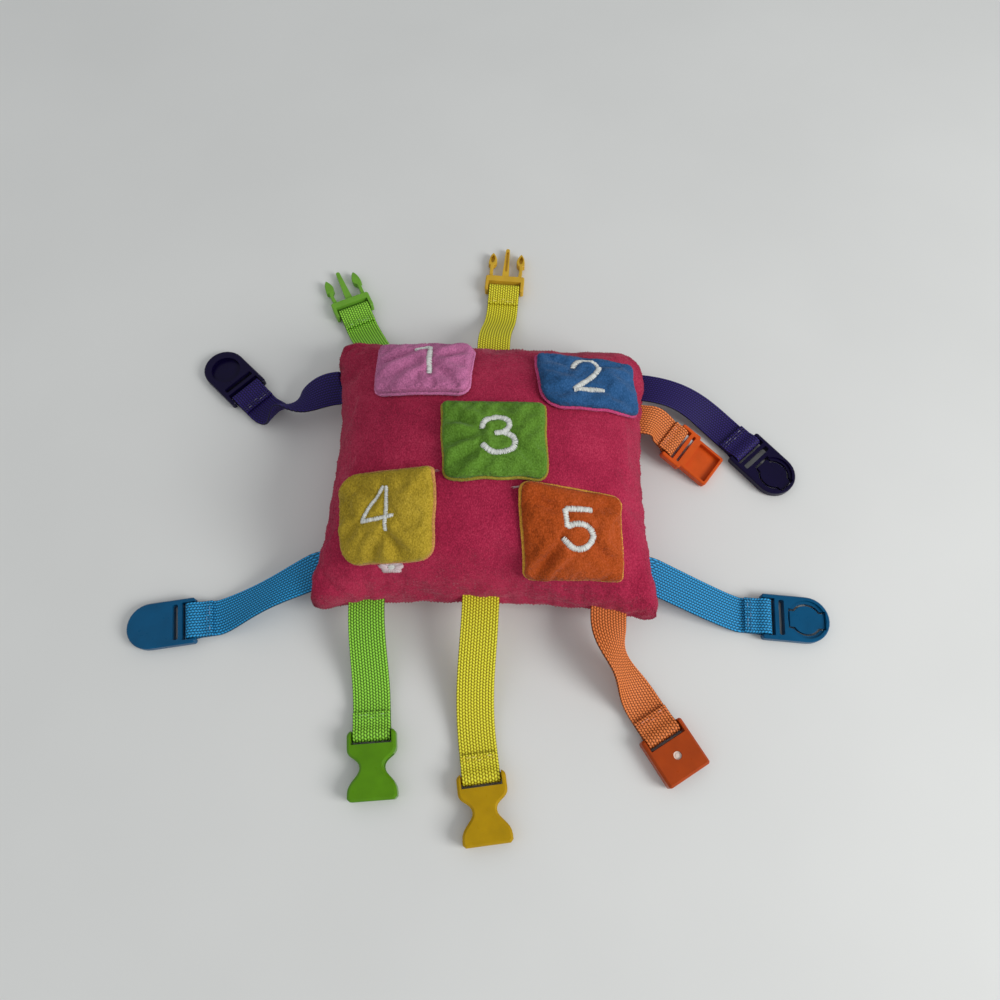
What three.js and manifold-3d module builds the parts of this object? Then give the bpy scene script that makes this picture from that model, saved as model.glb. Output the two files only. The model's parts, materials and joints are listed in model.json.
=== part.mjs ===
// A stuffed plush activity pillow: five numbered flaps lift from its front, and ten webbing straps
// sewn into its seam carry five pairs of buckles in five colours. Millimetres, +Z up, +X to the right
// and +Y to the top edge of the pillow. The origin is the middle of the flat underside.
import * as THREE from "three";
import { mergeVertices } from "three/addons/utils/BufferGeometryUtils.js";
import Module from "manifold-3d";

// Pillow
const PILLOW_WIDTH = 195;
const PILLOW_DEPTH = 169;
const SEAM_HEIGHT = 24;
const CORNER_DROP = 10;
const CORNER_ROUND = 4; // how far the ear of each corner is rounded back
const CROWN = 47;
const LEAN = 0.2; // the crown stands nearer the front edge by this share
const SIDE_PULL = 10; // how far the left and right sides are drawn in
const END_PULL = 7; // how far the top and bottom edges are drawn in
const REST_SHARE = 0.66; // where the underside reaches the table
const REST_CURVE = 1.5;
const BACK_SWELL = 3; // how far the underside swells out past the seam
const CLOTH = 1.6;
const SEAM_GAP = 0.3;
const FILL_GAP = 0.8;
const FILL_REACH = 0.8; // share of the way to the seam that the stuffing fills

// Flaps
const FLAP_CORNER = 9;
const FACE_CLOTH = 1.5;
const LINING_CLOTH = 1.4;
const LINING_EDGE = 0.8; // the lining shows this far past the face
const LAYER_GAP = 0.3;
const FLAP_REST_GAP = 0.6;
const FLAP_HEM = 10; // length over which the sewn edge settles onto the pillow

// Webbing
const WEBBING_WIDTH = 20;
const WEBBING_THICK = 1.5;
const FOLD_LENGTH = 12; // the end folded back over the strap and sewn down
const FOLD_NECK = 7; // from the bar to where the two layers meet
const FOLD_LEAD = 2;
const ROOT_GAP = 0.8;
const REST_GAP = 0.3; // the lowest webbing loop to the table
const ROLL_RAISE = 0.4; // share of its width by which rolled webbing stands up
const STRAP_EASE = 0.4; // share of the run over which webbing eases into its heading at each end

// What every buckle shares
const BAR_RADIUS = 1.6;
const LOOP_GAP = 0.35;
const SLOT_GAP = 1.1;
const SLOT_SIDE_GAP = 0.6;
const RAIL = 2.2;
const RAIL_BACK = 2.6; // the side rails run this far back past the middle of the bar
const EDGE = 0.6;
const BUCKLE_CORNER = 1.5;
const TIP_GAP = 0.1; // a buckle's far end to the table
const MOULD_GAP = 0.3;

// Side-release plug and socket
const PLUG_THICK = 6.4;
const PLUG_BODY = 4.9;
const PRONG_LENGTH = 24;
const PRONG_WIDTH = 4.6;
const PRONG_TIP = 2.6;
const ARM_LENGTH = 19.5;
const ARM_THICK = 4.4;
const ARM_STEM = 2.4;
const ARM_INSET = 0.5; // stem to the socket's side
const POCKET_DEPTH = 2.2; // hollows moulded into one face of the arms' heads and of the prong
const POCKET_WALL = 1;
const ARM_CATCH = 0.9; // how far the catch stands past the socket's mouth
const SOCKET_LENGTH = 27.9;
const SOCKET_WAIST = 12.6;
const WAIST_PLACE = 0.42; // share of the socket's length
const WAIST_RISE = 0.34;
const WAIST_FALL = 0.45;
const SOCKET_WALL = 1.6;
const SOCKET_FLOOR = 1.9;
const SOCKET_CORNER = 3;
const SOCKET_EDGE = 1.2;
const PLUG_FIT = 0.4;

// Round press-button pair
const PLATE_THICK = 5;
const PLATE_RIM = 2;
const CROSS_BAR = 2.2;
const OPEN_SLOT = 3;
const OPEN_SLOT_SPAN = 20;
const DISC_CENTRE = 22.5;
const DISC_RADIUS = 8;
const DISC_THICK = 1.8;
const DISC_RECESS = 1.3;
const DISC_SLIT = 1.1;
const NOSE_REACH = 1.4;
const NOSE_SPAN = 9;
const TONGUE_SPAN = 8.4;
const TONGUE_REACH = 2.2;
const DISH_DEPTH = 2.6;
const DISH_FIT = 1;
const DISH_SHIFT = 1.5; // the dish lies nearer the strap than the disc it takes

// Square slide-in pair
const TRAY_SHOULDER = 11; // from the bar to the tray
const TRAY_LENGTH = 18.5;
const TRAY_THICK = 5;
const TRAY_RIM = 1.7;
const TRAY_LAP = 2; // the tray runs this far into its shoulders
const TRAY_FLOOR = 1.7;
const TRAY_SLIT = 1.6;
const BOX_LENGTH = 19.9;
const BOX_WALL = 1.5;
const BOX_FIT = 0.35;
const BOX_HOLE = 4.4;
const BOX_HOLE_PLACE = 12.6; // from the bar

// Facets
const PANEL_COLUMNS = 18;
const PANEL_ROWS = 16;
const FILL_COLUMNS = 12;
const FILL_ROWS = 10;
const FLAP_COLUMNS = 8;
const STRAP_STEPS = 12;
const LOOP_STEPS = 7;
const ROUND_STEPS = 8;
const CORNER_STEPS = 3;
const ARM_STEPS = 4;
const BAR_SIDES = 12;

// Derived sizes
const HALF_WIDTH = PILLOW_WIDTH / 2;
const HALF_DEPTH = PILLOW_DEPTH / 2;
const LOOP_MID = BAR_RADIUS + LOOP_GAP + WEBBING_THICK / 2;
const LOOP_OUTER = LOOP_MID + WEBBING_THICK / 2;
const LAYER_MID = (WEBBING_THICK + LAYER_GAP) / 2;
const SLOT_REACH = LOOP_OUTER + SLOT_GAP;
const SLOT_HALF = WEBBING_WIDTH / 2 + SLOT_SIDE_GAP;
const BUCKLE_HALF = SLOT_HALF + RAIL;
const SHOULDER = SLOT_REACH + PLUG_BODY;
const PLUG_TIP = SHOULDER + PRONG_LENGTH;
const PRONG_HALF = ARM_THICK / 2 - PLUG_FIT;
const MOUTH_HALF = BUCKLE_HALF - SOCKET_WALL;
const SOCKET_HEIGHT = ARM_THICK + 2 * PLUG_FIT;
const SOCKET_THICK = SOCKET_HEIGHT + 2 * SOCKET_FLOOR;
const SOCKET_MOUTH = SLOT_REACH + SOCKET_LENGTH;
const PLATE_TIP = DISC_CENTRE + BUCKLE_HALF;
const TRAY_HALF = BUCKLE_HALF - BOX_WALL - BOX_FIT;
const TRAY_TIP = TRAY_SHOULDER + TRAY_LENGTH;
const BOX_HEIGHT = TRAY_THICK + 2 * BOX_FIT;
const BOX_THICK = BOX_HEIGHT + 2 * BOX_WALL;
const BOX_MOUTH = SLOT_REACH + BOX_LENGTH;

// Each flap, cut by hand: the middle of its sewn edge in plan, its turn in degrees, its size, its colour
const FLAPS = [
  { digit: 1, x: -37, y: 63.5, turn: -4, width: 51, length: 45, colour: 0xb4649e },
  { digit: 2, x: 51, y: 56.5, turn: 2, width: 51, length: 43, colour: 0x3a69a5 },
  { digit: 3, x: 1.5, y: 16.5, turn: 2, width: 54, length: 45, colour: 0x699e34 },
  { digit: 4, x: -51, y: -25, turn: 2, width: 50, length: 46, colour: 0xc6b232 },
  { digit: 5, x: 43.5, y: -31.5, turn: 2, width: 53, length: 47, colour: 0xbe5c1e },
];

const COLOURS = {
  green: { webbing: 0x78c832, plastic: 0x5f9624 },
  yellow: { webbing: 0xd7c81e, plastic: 0xc0981a },
  orange: { webbing: 0xe17832, plastic: 0xcd5828 },
  blue: { webbing: 0x1e96c8, plastic: 0x126291 },
  purple: { webbing: 0x372382, plastic: 0x1e1446 },
};
const PLUSH = 0xc32a5f;
const FILL = 0xf2efe8;

// Each strap: the edge it is sewn into and how far along it, the buckle on it, how far the buckle's bar lies
// from the sewn place, the way it heads in degrees, the ease of its bends, and how the webbing dips, lifts
// and rolls over, most at rollAt of its run. A buckle marked over lies on its face.
const STRAPS = [
  {
    colour: "green", side: "top", along: -75, buckle: "plug", reach: [-17.7, 36.4], heading: 116,
    ease: 0.22,
  },
  { colour: "green", side: "bottom", along: -63.5, buckle: "socket", reach: [7, -67], heading: -84 },
  { colour: "yellow", side: "top", along: 0, buckle: "plug", reach: [5, 59.7], heading: 87, over: true },
  { colour: "yellow", side: "bottom", along: -1.5, buckle: "socket", reach: [3.5, -89], heading: -81 },
  {
    colour: "orange", side: "right", along: 35, buckle: "tray", reach: [21, -7.9], heading: -36,
    dip: 30, lift: 5.5, fold: 7.5,
  },
  {
    colour: "orange", side: "bottom", along: 68, buckle: "box", reach: [29, -61.5], heading: -57,
    roll: -48,
  },
  {
    colour: "purple", side: "left", along: 51, buckle: "cup", reach: [-60.8, 4.7], heading: 137,
    roll: 55, rollAt: 0.6,
  },
  { colour: "purple", side: "right", along: 58, buckle: "button", reach: [62.1, -31.3], heading: -46 },
  {
    colour: "blue", side: "left", along: -64, buckle: "cup", reach: [-68.7, -26.7], heading: 190,
    roll: 20, ease: 0.22, over: true,
  },
  {
    colour: "blue", side: "right", along: -61, buckle: "button", reach: [64.6, -16.7], heading: -3,
    ease: 0.15,
  },
];

const wasm = await Module();
wasm.setup();

const radians = THREE.MathUtils.degToRad;
const vec = (x, y, z = 0) => new THREE.Vector3(x, y, z);
const UP = vec(0, 0, 1);

// Joining and cutting closed solids
function solidOf(geometry) {
  const bare = geometry.index ? geometry.toNonIndexed() : geometry.clone();
  const merged = mergeVertices(new THREE.BufferGeometry().setAttribute("position", bare.attributes.position));
  return new wasm.Manifold(
    new wasm.Mesh({
      numProp: 3,
      vertProperties: new Float32Array(merged.attributes.position.array),
      triVerts: new Uint32Array(merged.index.array),
    }),
  );
}

function geometryOf(solid) {
  const mesh = solid.getMesh();
  return new THREE.BufferGeometry()
    .setAttribute("position", new THREE.BufferAttribute(mesh.vertProperties.slice(), 3))
    .setIndex(new THREE.BufferAttribute(mesh.triVerts.slice(), 1));
}

const joined = (...pieces) => pieces.reduce((whole, piece) => whole.add(piece));
const cut = (base, ...tools) => tools.reduce((left, tool) => left.subtract(tool), base);

// An outline drawn in plan, raised from low to high, its outer edges rounded off by edge
function raised(shape, low, high, edge = 0, steps = ROUND_STEPS) {
  const geometry = new THREE.ExtrudeGeometry(shape, {
    depth: high - low - 2 * edge,
    bevelEnabled: edge > 0,
    bevelThickness: edge,
    bevelSize: edge,
    bevelOffset: -edge,
    bevelSegments: 1,
    curveSegments: steps,
  });
  return solidOf(geometry.translate(0, 0, low + edge));
}

function block(x0, x1, y0, y1, z0, z1) {
  const box = new THREE.BoxGeometry(x1 - x0, y1 - y0, z1 - z0);
  return solidOf(box.translate((x0 + x1) / 2, (y0 + y1) / 2, (z0 + z1) / 2));
}

function drum(radius, x, low, high, sides) {
  const round = new THREE.CylinderGeometry(radius, radius, high - low, sides);
  return solidOf(round.rotateX(Math.PI / 2).translate(x, 0, (low + high) / 2));
}

// A rectangle in plan with rounded corners
function slab(x0, x1, half, corner) {
  const shape = new THREE.Shape();
  shape.moveTo(x0 + corner, -half);
  shape.lineTo(x1 - corner, -half);
  shape.absarc(x1 - corner, -half + corner, corner, -Math.PI / 2, 0);
  shape.lineTo(x1, half - corner);
  shape.absarc(x1 - corner, half - corner, corner, 0, Math.PI / 2);
  shape.lineTo(x0 + corner, half);
  shape.absarc(x0 + corner, half - corner, corner, Math.PI / 2, Math.PI);
  shape.lineTo(x0, -half + corner);
  shape.absarc(x0 + corner, -half + corner, corner, Math.PI, 1.5 * Math.PI);
  return shape;
}

// A closed solid between two faces that share a grid of columns and rows
function betweenFaces(columns, rows, upper, lower) {
  const points = [];
  for (const face of [upper, lower])
    for (let j = 0; j <= rows; j++)
      for (let i = 0; i <= columns; i++) points.push(...face(i / columns, j / rows).toArray());
  const across = columns + 1;
  const offset = across * (rows + 1);
  const at = (i, j) => j * across + i;
  const index = [];
  for (let j = 0; j < rows; j++)
    for (let i = 0; i < columns; i++) {
      const [a, b, c, d] = [at(i, j), at(i + 1, j), at(i + 1, j + 1), at(i, j + 1)];
      index.push(a, b, c, a, c, d);
      index.push(a + offset, c + offset, b + offset, a + offset, d + offset, c + offset);
    }
  const rim = [];
  for (let i = 0; i < columns; i++) rim.push(at(i, 0));
  for (let j = 0; j < rows; j++) rim.push(at(columns, j));
  for (let i = columns; i > 0; i--) rim.push(at(i, rows));
  for (let j = rows; j > 0; j--) rim.push(at(0, j));
  rim.forEach((a, k) => {
    const b = rim[(k + 1) % rim.length];
    index.push(a, a + offset, b + offset, a, b + offset, b);
  });
  return new THREE.BufferGeometry()
    .setAttribute("position", new THREE.BufferAttribute(new Float32Array(points), 3))
    .setIndex(index);
}

// The pillow's form. u and v run from -1 to 1 across it and up it, and inset steps in from the outside.
function planPoint(u, v, inset) {
  const ear = CORNER_ROUND * (u * v) ** 6;
  const x = (HALF_WIDTH - inset) * u * (1 - (SIDE_PULL * (1 - v * v) * u * u + ear) / HALF_WIDTH);
  const y = (HALF_DEPTH - inset) * v * (1 - (END_PULL * (1 - u * u) * v * v + ear) / HALF_DEPTH);
  return vec(x, y);
}

const seamHeight = (u, v) => SEAM_HEIGHT - CORNER_DROP * u * u * v * v;
const swell = (u, v) => Math.sqrt(Math.max(0, (1 - u * u) * (1 - v * v)));

function frontPoint(u, v, inset = 0) {
  const point = planPoint(u, v, inset);
  return point.setZ(seamHeight(u, v) + SEAM_GAP / 2 + (CROWN - inset) * swell(u, v) * (1 - LEAN * v));
}

function backPoint(u, v, inset = 0) {
  const settled = 1 - (1 - Math.min(1, swell(u, v) / REST_SHARE)) ** REST_CURVE;
  const bulge = 4 * BACK_SWELL * settled * (1 - settled);
  const point = planPoint(u, v, inset).multiplyScalar(1 + bulge / HALF_DEPTH);
  return point.setZ((seamHeight(u, v) - SEAM_GAP / 2) * (1 - settled) + inset * settled);
}

// Grid lines crowd together towards the seam, where the cloth is steepest
const spread = (share, reach = 1) => Math.sin((share - 0.5) * Math.PI * reach);

function pillowFace(surface, inset, reach = 1) {
  return (i, j) => surface(spread(i, reach), spread(j, reach), inset);
}

function frontPanel() {
  return betweenFaces(PANEL_COLUMNS, PANEL_ROWS, pillowFace(frontPoint, 0), pillowFace(frontPoint, CLOTH));
}

function backPanel() {
  return betweenFaces(PANEL_COLUMNS, PANEL_ROWS, pillowFace(backPoint, CLOTH), pillowFace(backPoint, 0));
}

function stuffing() {
  const inset = CLOTH + FILL_GAP;
  const top = pillowFace(frontPoint, inset, FILL_REACH);
  const bottom = pillowFace(backPoint, inset, FILL_REACH);
  return betweenFaces(FILL_COLUMNS, FILL_ROWS, top, bottom);
}

// The front panel's point and outward normal over a place in plan
function frontAt(x, y) {
  let u = x / HALF_WIDTH;
  let v = y / HALF_DEPTH;
  for (let round = 0; round < 20; round++) {
    const here = planPoint(u, v, 0);
    u = THREE.MathUtils.clamp(u + (x - here.x) / HALF_WIDTH, -0.999, 0.999);
    v = THREE.MathUtils.clamp(v + (y - here.y) / HALF_DEPTH, -0.999, 0.999);
  }
  const step = 1e-4;
  const point = frontPoint(u, v);
  const across = frontPoint(u + step, v).sub(point);
  const along = frontPoint(u, v + step).sub(point);
  return { point, normal: across.cross(along).normalize() };
}

// A flap follows the pillow from a straight sewn edge down to a free edge with round corners.
// down runs along the cloth from the sewn edge, and the surface is the middle of the two layers.
function flapSurface(flap) {
  const turn = radians(flap.turn);
  const right = vec(Math.cos(turn), Math.sin(turn));
  const downhill = vec(Math.sin(turn), -Math.cos(turn));
  const lift = FLAP_REST_GAP + LINING_CLOTH + LAYER_GAP / 2;
  const over = (side, reach) => {
    const place = vec(flap.x, flap.y).addScaledVector(right, side).addScaledVector(downhill, reach);
    const { point, normal } = frontAt(place.x, place.y);
    return point.addScaledVector(normal, lift);
  };
  // plan distance at which the cloth has run a given length from the sewn edge
  const reaches = [0];
  const step = 0.5;
  for (let length = step; length <= flap.length + step; length += step) {
    const before = reaches[reaches.length - 1];
    const rise = (over(0, before + step).z - over(0, before).z) / step;
    reaches.push(before + step / Math.hypot(1, rise));
  }
  const reachAt = (down) => {
    const k = Math.min(Math.floor(down / step), reaches.length - 2);
    return THREE.MathUtils.lerp(reaches[k], reaches[k + 1], down / step - k);
  };
  // the straight sewn edge lies along the ends of the curved one, raised to clear its middle
  const half = flap.width / 2;
  const left = over(-half, 0);
  const line = over(half, 0).sub(left);
  const edgeAt = (side) => left.clone().addScaledVector(line, (side + half) / flap.width);
  const normal = frontAt(flap.x, flap.y).normal;
  let raise = 0;
  for (let side = -half; side <= half; side += half / 8)
    raise = Math.max(raise, over(side, 0).sub(edgeAt(side)).dot(normal));
  const hinge = edgeAt(0).addScaledVector(normal, raise);
  const surface = (side, down) => {
    const lying = over(side, reachAt(down));
    const held = over(side, 0).sub(edgeAt(side)).addScaledVector(normal, -raise);
    const settle = 1 - THREE.MathUtils.smoothstep(down, 0, FLAP_HEM);
    return lying.addScaledVector(held, -settle);
  };
  return { surface, hinge, axis: line.clone().normalize() };
}

function flapLayer(flap, surface, low, high, trim) {
  const half = flap.width / 2 - trim;
  const length = flap.length - trim;
  const corner = FLAP_CORNER - trim;
  const downs = [0, 0.25, 0.5, 0.75, 1].map((share) => share * (length - corner));
  for (const turn of [22.5, 45, 67.5, 90]) downs.push(length - corner * (1 - Math.sin(radians(turn))));
  const halfAt = (down) => {
    const past = Math.max(0, down - (length - corner));
    return half - corner + Math.sqrt(Math.max(0, corner * corner - past * past));
  };
  const normalAt = (side, down) => {
    const step = 0.5;
    const across = surface(side + step, down).sub(surface(side - step, down));
    const along = surface(side, down + step).sub(surface(side, Math.max(0, down - step)));
    return along.cross(across).normalize();
  };
  const face = (height) => (i, j) => {
    const down = downs[Math.round((1 - j) * (downs.length - 1))];
    const side = (2 * i - 1) * halfAt(down);
    return surface(side, down).addScaledVector(normalAt(side, down), height);
  };
  return betweenFaces(FLAP_COLUMNS, downs.length - 1, face(high), face(low));
}

// Where a strap is sewn in: the seam's point, its direction along the edge and the way out of the pillow
function seamAt(side, along) {
  const upright = side === "left" || side === "right";
  const sign = side === "right" || side === "top" ? 1 : -1;
  const at = (share) => {
    const [u, v] = upright ? [sign, share] : [share, sign];
    return planPoint(u, v, 0).setZ(seamHeight(u, v));
  };
  const share = along / (upright ? HALF_DEPTH : HALF_WIDTH);
  const step = 1e-3;
  const edge = at(share + step).sub(at(share - step)).normalize();
  const out = upright ? vec(sign, 0) : vec(0, sign);
  out.addScaledVector(edge, -out.dot(edge)).normalize();
  return { point: at(share), edge, out };
}

// A strap's run: places along its middle, each with the direction across the webbing
function strapRun(strap) {
  const seam = seamAt(strap.side, strap.along);
  const heading = radians(strap.heading);
  const dip = radians(strap.dip ?? 0);
  const ahead = vec(Math.cos(heading) * Math.cos(dip), Math.sin(heading) * Math.cos(dip), -Math.sin(dip));
  const across = vec(-Math.sin(heading), Math.cos(heading));
  const above = ahead.clone().cross(across);
  const start = seam.point.clone().addScaledVector(seam.out, ROOT_GAP);
  const bar = start.clone().add(vec(...strap.reach)).setZ(barHeight(strap));
  const near = (back, rise) => bar.clone().addScaledVector(ahead, -back).addScaledVector(above, rise);
  const fold = strap.fold ?? FOLD_LENGTH;
  const end = near(fold + FOLD_LEAD, -LAYER_MID);
  const span = start.distanceTo(end) * (strap.ease ?? STRAP_EASE);
  const rootSide = seam.edge.clone();
  if (rootSide.dot(across) < 0) rootSide.negate();
  const curve = new THREE.CubicBezierCurve3(
    start,
    start.clone().addScaledVector(seam.out, span),
    end.clone().addScaledVector(ahead, -span),
    end,
  );
  const rollPower = Math.log(0.5) / Math.log(strap.rollAt ?? 0.5);
  const run = [];
  for (let k = 0; k < STRAP_STEPS; k++) {
    const t = k / STRAP_STEPS;
    const along = curve.getTangent(t);
    const wide = rootSide.clone().lerp(across, THREE.MathUtils.smoothstep(t, 0, 1));
    wide.addScaledVector(along, -wide.dot(along)).normalize();
    const roll = radians(strap.roll ?? 0) * Math.sin(Math.PI * t ** rollPower) ** 2;
    wide.applyAxisAngle(along, roll);
    const raise = Math.abs(Math.sin(roll)) * WEBBING_WIDTH * ROLL_RAISE;
    run.push({ point: curve.getPoint(t).addScaledVector(UP, raise), wide });
  }
  const neck = new THREE.CubicBezierCurve(
    new THREE.Vector2(FOLD_NECK, LAYER_MID),
    new THREE.Vector2(FOLD_NECK / 2, LAYER_MID),
    new THREE.Vector2(FOLD_NECK / 2, LOOP_MID),
    new THREE.Vector2(0, LOOP_MID),
  );
  const leaf = [0, 0.3, 0.55, 0.8].map((t) => neck.getPoint(t));
  run.push({ point: end, wide: across });
  for (const { x, y } of leaf) run.push({ point: near(x, -y), wide: across });
  for (let k = 0; k <= LOOP_STEPS; k++) {
    const turn = -Math.PI / 2 + (Math.PI * k) / LOOP_STEPS;
    run.push({ point: near(-LOOP_MID * Math.cos(turn), LOOP_MID * Math.sin(turn)), wide: across });
  }
  for (const { x, y } of leaf.reverse()) run.push({ point: near(x, y), wide: across });
  run.push({ point: near(fold, LAYER_MID), wide: across });
  return { run, seam, start, bar };
}

function strapSolid({ run }) {
  const rows = run.length - 1;
  const frames = run.map(({ point, wide }, k) => {
    const before = run[Math.max(0, k - 1)].point;
    const after = run[Math.min(rows, k + 1)].point;
    const along = after.clone().sub(before).normalize();
    return { point, wide, thick: along.cross(wide).normalize() };
  });
  const columns = 2;
  const face = (rise) => (i, j) => {
    const { point, wide, thick } = frames[Math.round(j * rows)];
    return point.clone().addScaledVector(wide, WEBBING_WIDTH * (0.5 - i)).addScaledVector(thick, rise);
  };
  return betweenFaces(columns, rows, face(WEBBING_THICK / 2), face(-WEBBING_THICK / 2));
}

// Buckles. The bar lies along Y through the origin, and +X heads away from the strap.
function bar() {
  const length = 2 * (SLOT_HALF + RAIL / 2);
  return solidOf(new THREE.CylinderGeometry(BAR_RADIUS, BAR_RADIUS, length, BAR_SIDES));
}

function withStrapSlot(body, thick) {
  const slot = block(-2 * LOOP_OUTER, SLOT_REACH, -SLOT_HALF, SLOT_HALF, -thick, thick);
  return joined(cut(body, slot), bar());
}

// The second slot, past the cross-bar
function openSlot(wide) {
  const from = SLOT_REACH + CROSS_BAR;
  const slot = slab(from, from + wide, OPEN_SLOT_SPAN / 2, wide / 3);
  return raised(slot, -PLATE_THICK, PLATE_THICK, 0, CORNER_STEPS);
}

function plug(over) {
  const half = PLUG_THICK / 2;
  const outline = slab(-RAIL_BACK, SHOULDER, BUCKLE_HALF, BUCKLE_CORNER);
  const body = raised(outline, -half, half, EDGE, CORNER_STEPS);
  const prong = new THREE.Shape();
  const start = SHOULDER - EDGE;
  const tip = PLUG_TIP;
  prong.moveTo(start, -PRONG_WIDTH / 2);
  prong.lineTo(tip - PRONG_TIP, -PRONG_TIP / 2);
  prong.absarc(tip - PRONG_TIP / 2, 0, PRONG_TIP / 2, -Math.PI / 2, Math.PI / 2);
  prong.lineTo(start, PRONG_WIDTH / 2);
  prong.closePath();
  const rounding = POCKET_WALL / 2;
  const groove = slab(SHOULDER + PRONG_WIDTH, tip - PRONG_TIP, PRONG_TIP / 2 - rounding, rounding);
  const hollow = raised(groove, PRONG_HALF - POCKET_DEPTH / 2, PRONG_HALF + 1, 0, CORNER_STEPS);
  const whole = withStrapSlot(joined(body, cut(raised(prong, -PRONG_HALF, PRONG_HALF), hollow)), PLUG_THICK);
  return over ? whole : whole.rotate([180, 0, 0]);
}

// A springy arm: a thin stem, and a leaf-shaped head whose catch snaps out into the socket's side window
const ARM_ROOT = { x: SHOULDER + MOULD_GAP, y: MOUTH_HALF - ARM_STEM / 2 - ARM_INSET };
function plugArm(side, over) {
  const { x, y } = ARM_ROOT;
  const inner = y - ARM_STEM / 2;
  const outer = y + ARM_STEM / 2;
  const catchAt = x + ARM_LENGTH * 0.5;
  const reach = MOUTH_HALF + ARM_CATCH;
  const tip = x + ARM_LENGTH;
  const shape = new THREE.Shape();
  shape.moveTo(x, inner);
  shape.quadraticCurveTo(x + ARM_LENGTH * 0.3, inner + 0.6, catchAt - 1, inner + 0.3);
  shape.quadraticCurveTo(catchAt + 1, inner - 2.4, catchAt + ARM_LENGTH * 0.22, inner - 1.6);
  shape.quadraticCurveTo(tip - 1.5, inner - 0.6, tip, y);
  shape.quadraticCurveTo(catchAt + ARM_LENGTH * 0.35, reach, catchAt, reach);
  shape.lineTo(catchAt - 0.6, outer);
  shape.quadraticCurveTo(x + ARM_LENGTH * 0.3, outer + 0.3, x, outer);
  shape.closePath();
  const pocket = new THREE.Shape();
  const long = (tip - catchAt) / 2 - 1.5 * POCKET_WALL;
  pocket.absellipse(catchAt + long + POCKET_WALL, y, long, ARM_STEM - POCKET_WALL, 0, 2 * Math.PI);
  const high = ARM_THICK / 2;
  const hollow = raised(pocket, high - POCKET_DEPTH, high + 1, 0, ARM_STEPS);
  const arm = cut(raised(shape, -high, high, EDGE / 2, ARM_STEPS), hollow);
  const lying = over ? arm : arm.mirror([0, 0, 1]);
  return side > 0 ? lying : lying.mirror([0, 1, 0]);
}

function socket() {
  const half = SOCKET_THICK / 2;
  const waist = SOCKET_WAIST / 2;
  const middle = SLOT_REACH + SOCKET_LENGTH * WAIST_PLACE;
  const rise = SOCKET_LENGTH * WAIST_RISE;
  const fall = SOCKET_LENGTH * WAIST_FALL;
  const wide = BUCKLE_HALF;
  const shape = new THREE.Shape();
  const [far, round, off] = [SOCKET_MOUTH, SOCKET_CORNER, BUCKLE_CORNER];
  const near = round - RAIL_BACK;
  shape.moveTo(-RAIL_BACK, round - wide);
  shape.absarc(near, round - wide, round, Math.PI, 1.5 * Math.PI);
  shape.lineTo(middle - rise, -wide);
  shape.bezierCurveTo(middle - rise / 2, -wide, middle - rise / 2, -waist, middle, -waist);
  shape.bezierCurveTo(middle + fall / 3, -waist, middle + fall / 2, -wide, middle + fall, -wide);
  shape.lineTo(far - off, -wide);
  shape.lineTo(far, off - wide);
  shape.lineTo(far, wide - off);
  shape.lineTo(far - off, wide);
  shape.lineTo(middle + fall, wide);
  shape.bezierCurveTo(middle + fall / 2, wide, middle + fall / 3, waist, middle, waist);
  shape.bezierCurveTo(middle - rise / 2, waist, middle - rise / 2, wide, middle - rise, wide);
  shape.lineTo(near, wide);
  shape.absarc(near, wide - round, round, Math.PI / 2, Math.PI);
  shape.closePath();
  const body = raised(shape, -half, half, SOCKET_EDGE);
  const deep = SOCKET_MOUTH - PRONG_LENGTH - 2 * PLUG_FIT;
  const high = SOCKET_HEIGHT / 2;
  const hollow = block(deep, SOCKET_MOUTH + 1, -MOUTH_HALF, MOUTH_HALF, -high, high);
  return withStrapSlot(cut(body, hollow), SOCKET_THICK);
}

// The outline of the round plates, and the two strap slots with the cross-bar between them
function roundPlate() {
  const half = PLATE_THICK / 2;
  const wide = BUCKLE_HALF;
  const shape = new THREE.Shape();
  const corner = BUCKLE_CORNER;
  const near = corner - RAIL_BACK;
  shape.moveTo(-RAIL_BACK, corner - wide);
  shape.absarc(near, corner - wide, corner, Math.PI, 1.5 * Math.PI);
  shape.lineTo(DISC_CENTRE, -wide);
  shape.absarc(DISC_CENTRE, 0, wide, -Math.PI / 2, Math.PI / 2);
  shape.lineTo(near, wide);
  shape.absarc(near, wide - corner, corner, Math.PI / 2, Math.PI);
  shape.closePath();
  return withStrapSlot(cut(raised(shape, -half, half, EDGE), openSlot(OPEN_SLOT)), PLATE_THICK);
}

const DISC_TOP = PLATE_THICK / 2 - DISC_RECESS;
const DISC_LOW = DISC_TOP - DISC_THICK;
const DISC_SIDES = 4 * ROUND_STEPS;
const TONGUE_END = DISC_CENTRE + DISC_RADIUS + TONGUE_REACH;

// The press disc, grown by slack on every free side: a round pad, a latch nose towards the strap and
// a short springy tongue towards the tip
function discForm(slack, low, high, tongueSlack) {
  const pad = drum(DISC_RADIUS + slack, DISC_CENTRE, low, high, DISC_SIDES);
  const noseTip = DISC_CENTRE - DISC_RADIUS - NOSE_REACH - slack;
  const noseHalf = NOSE_SPAN / 2 + slack;
  const nose = block(noseTip, DISC_CENTRE, -noseHalf, noseHalf, low, high);
  const tongueHalf = TONGUE_SPAN / 2 + slack;
  const tongue = block(DISC_CENTRE, TONGUE_END + tongueSlack, -tongueHalf, tongueHalf, low, high);
  return joined(pad, nose, tongue);
}

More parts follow.
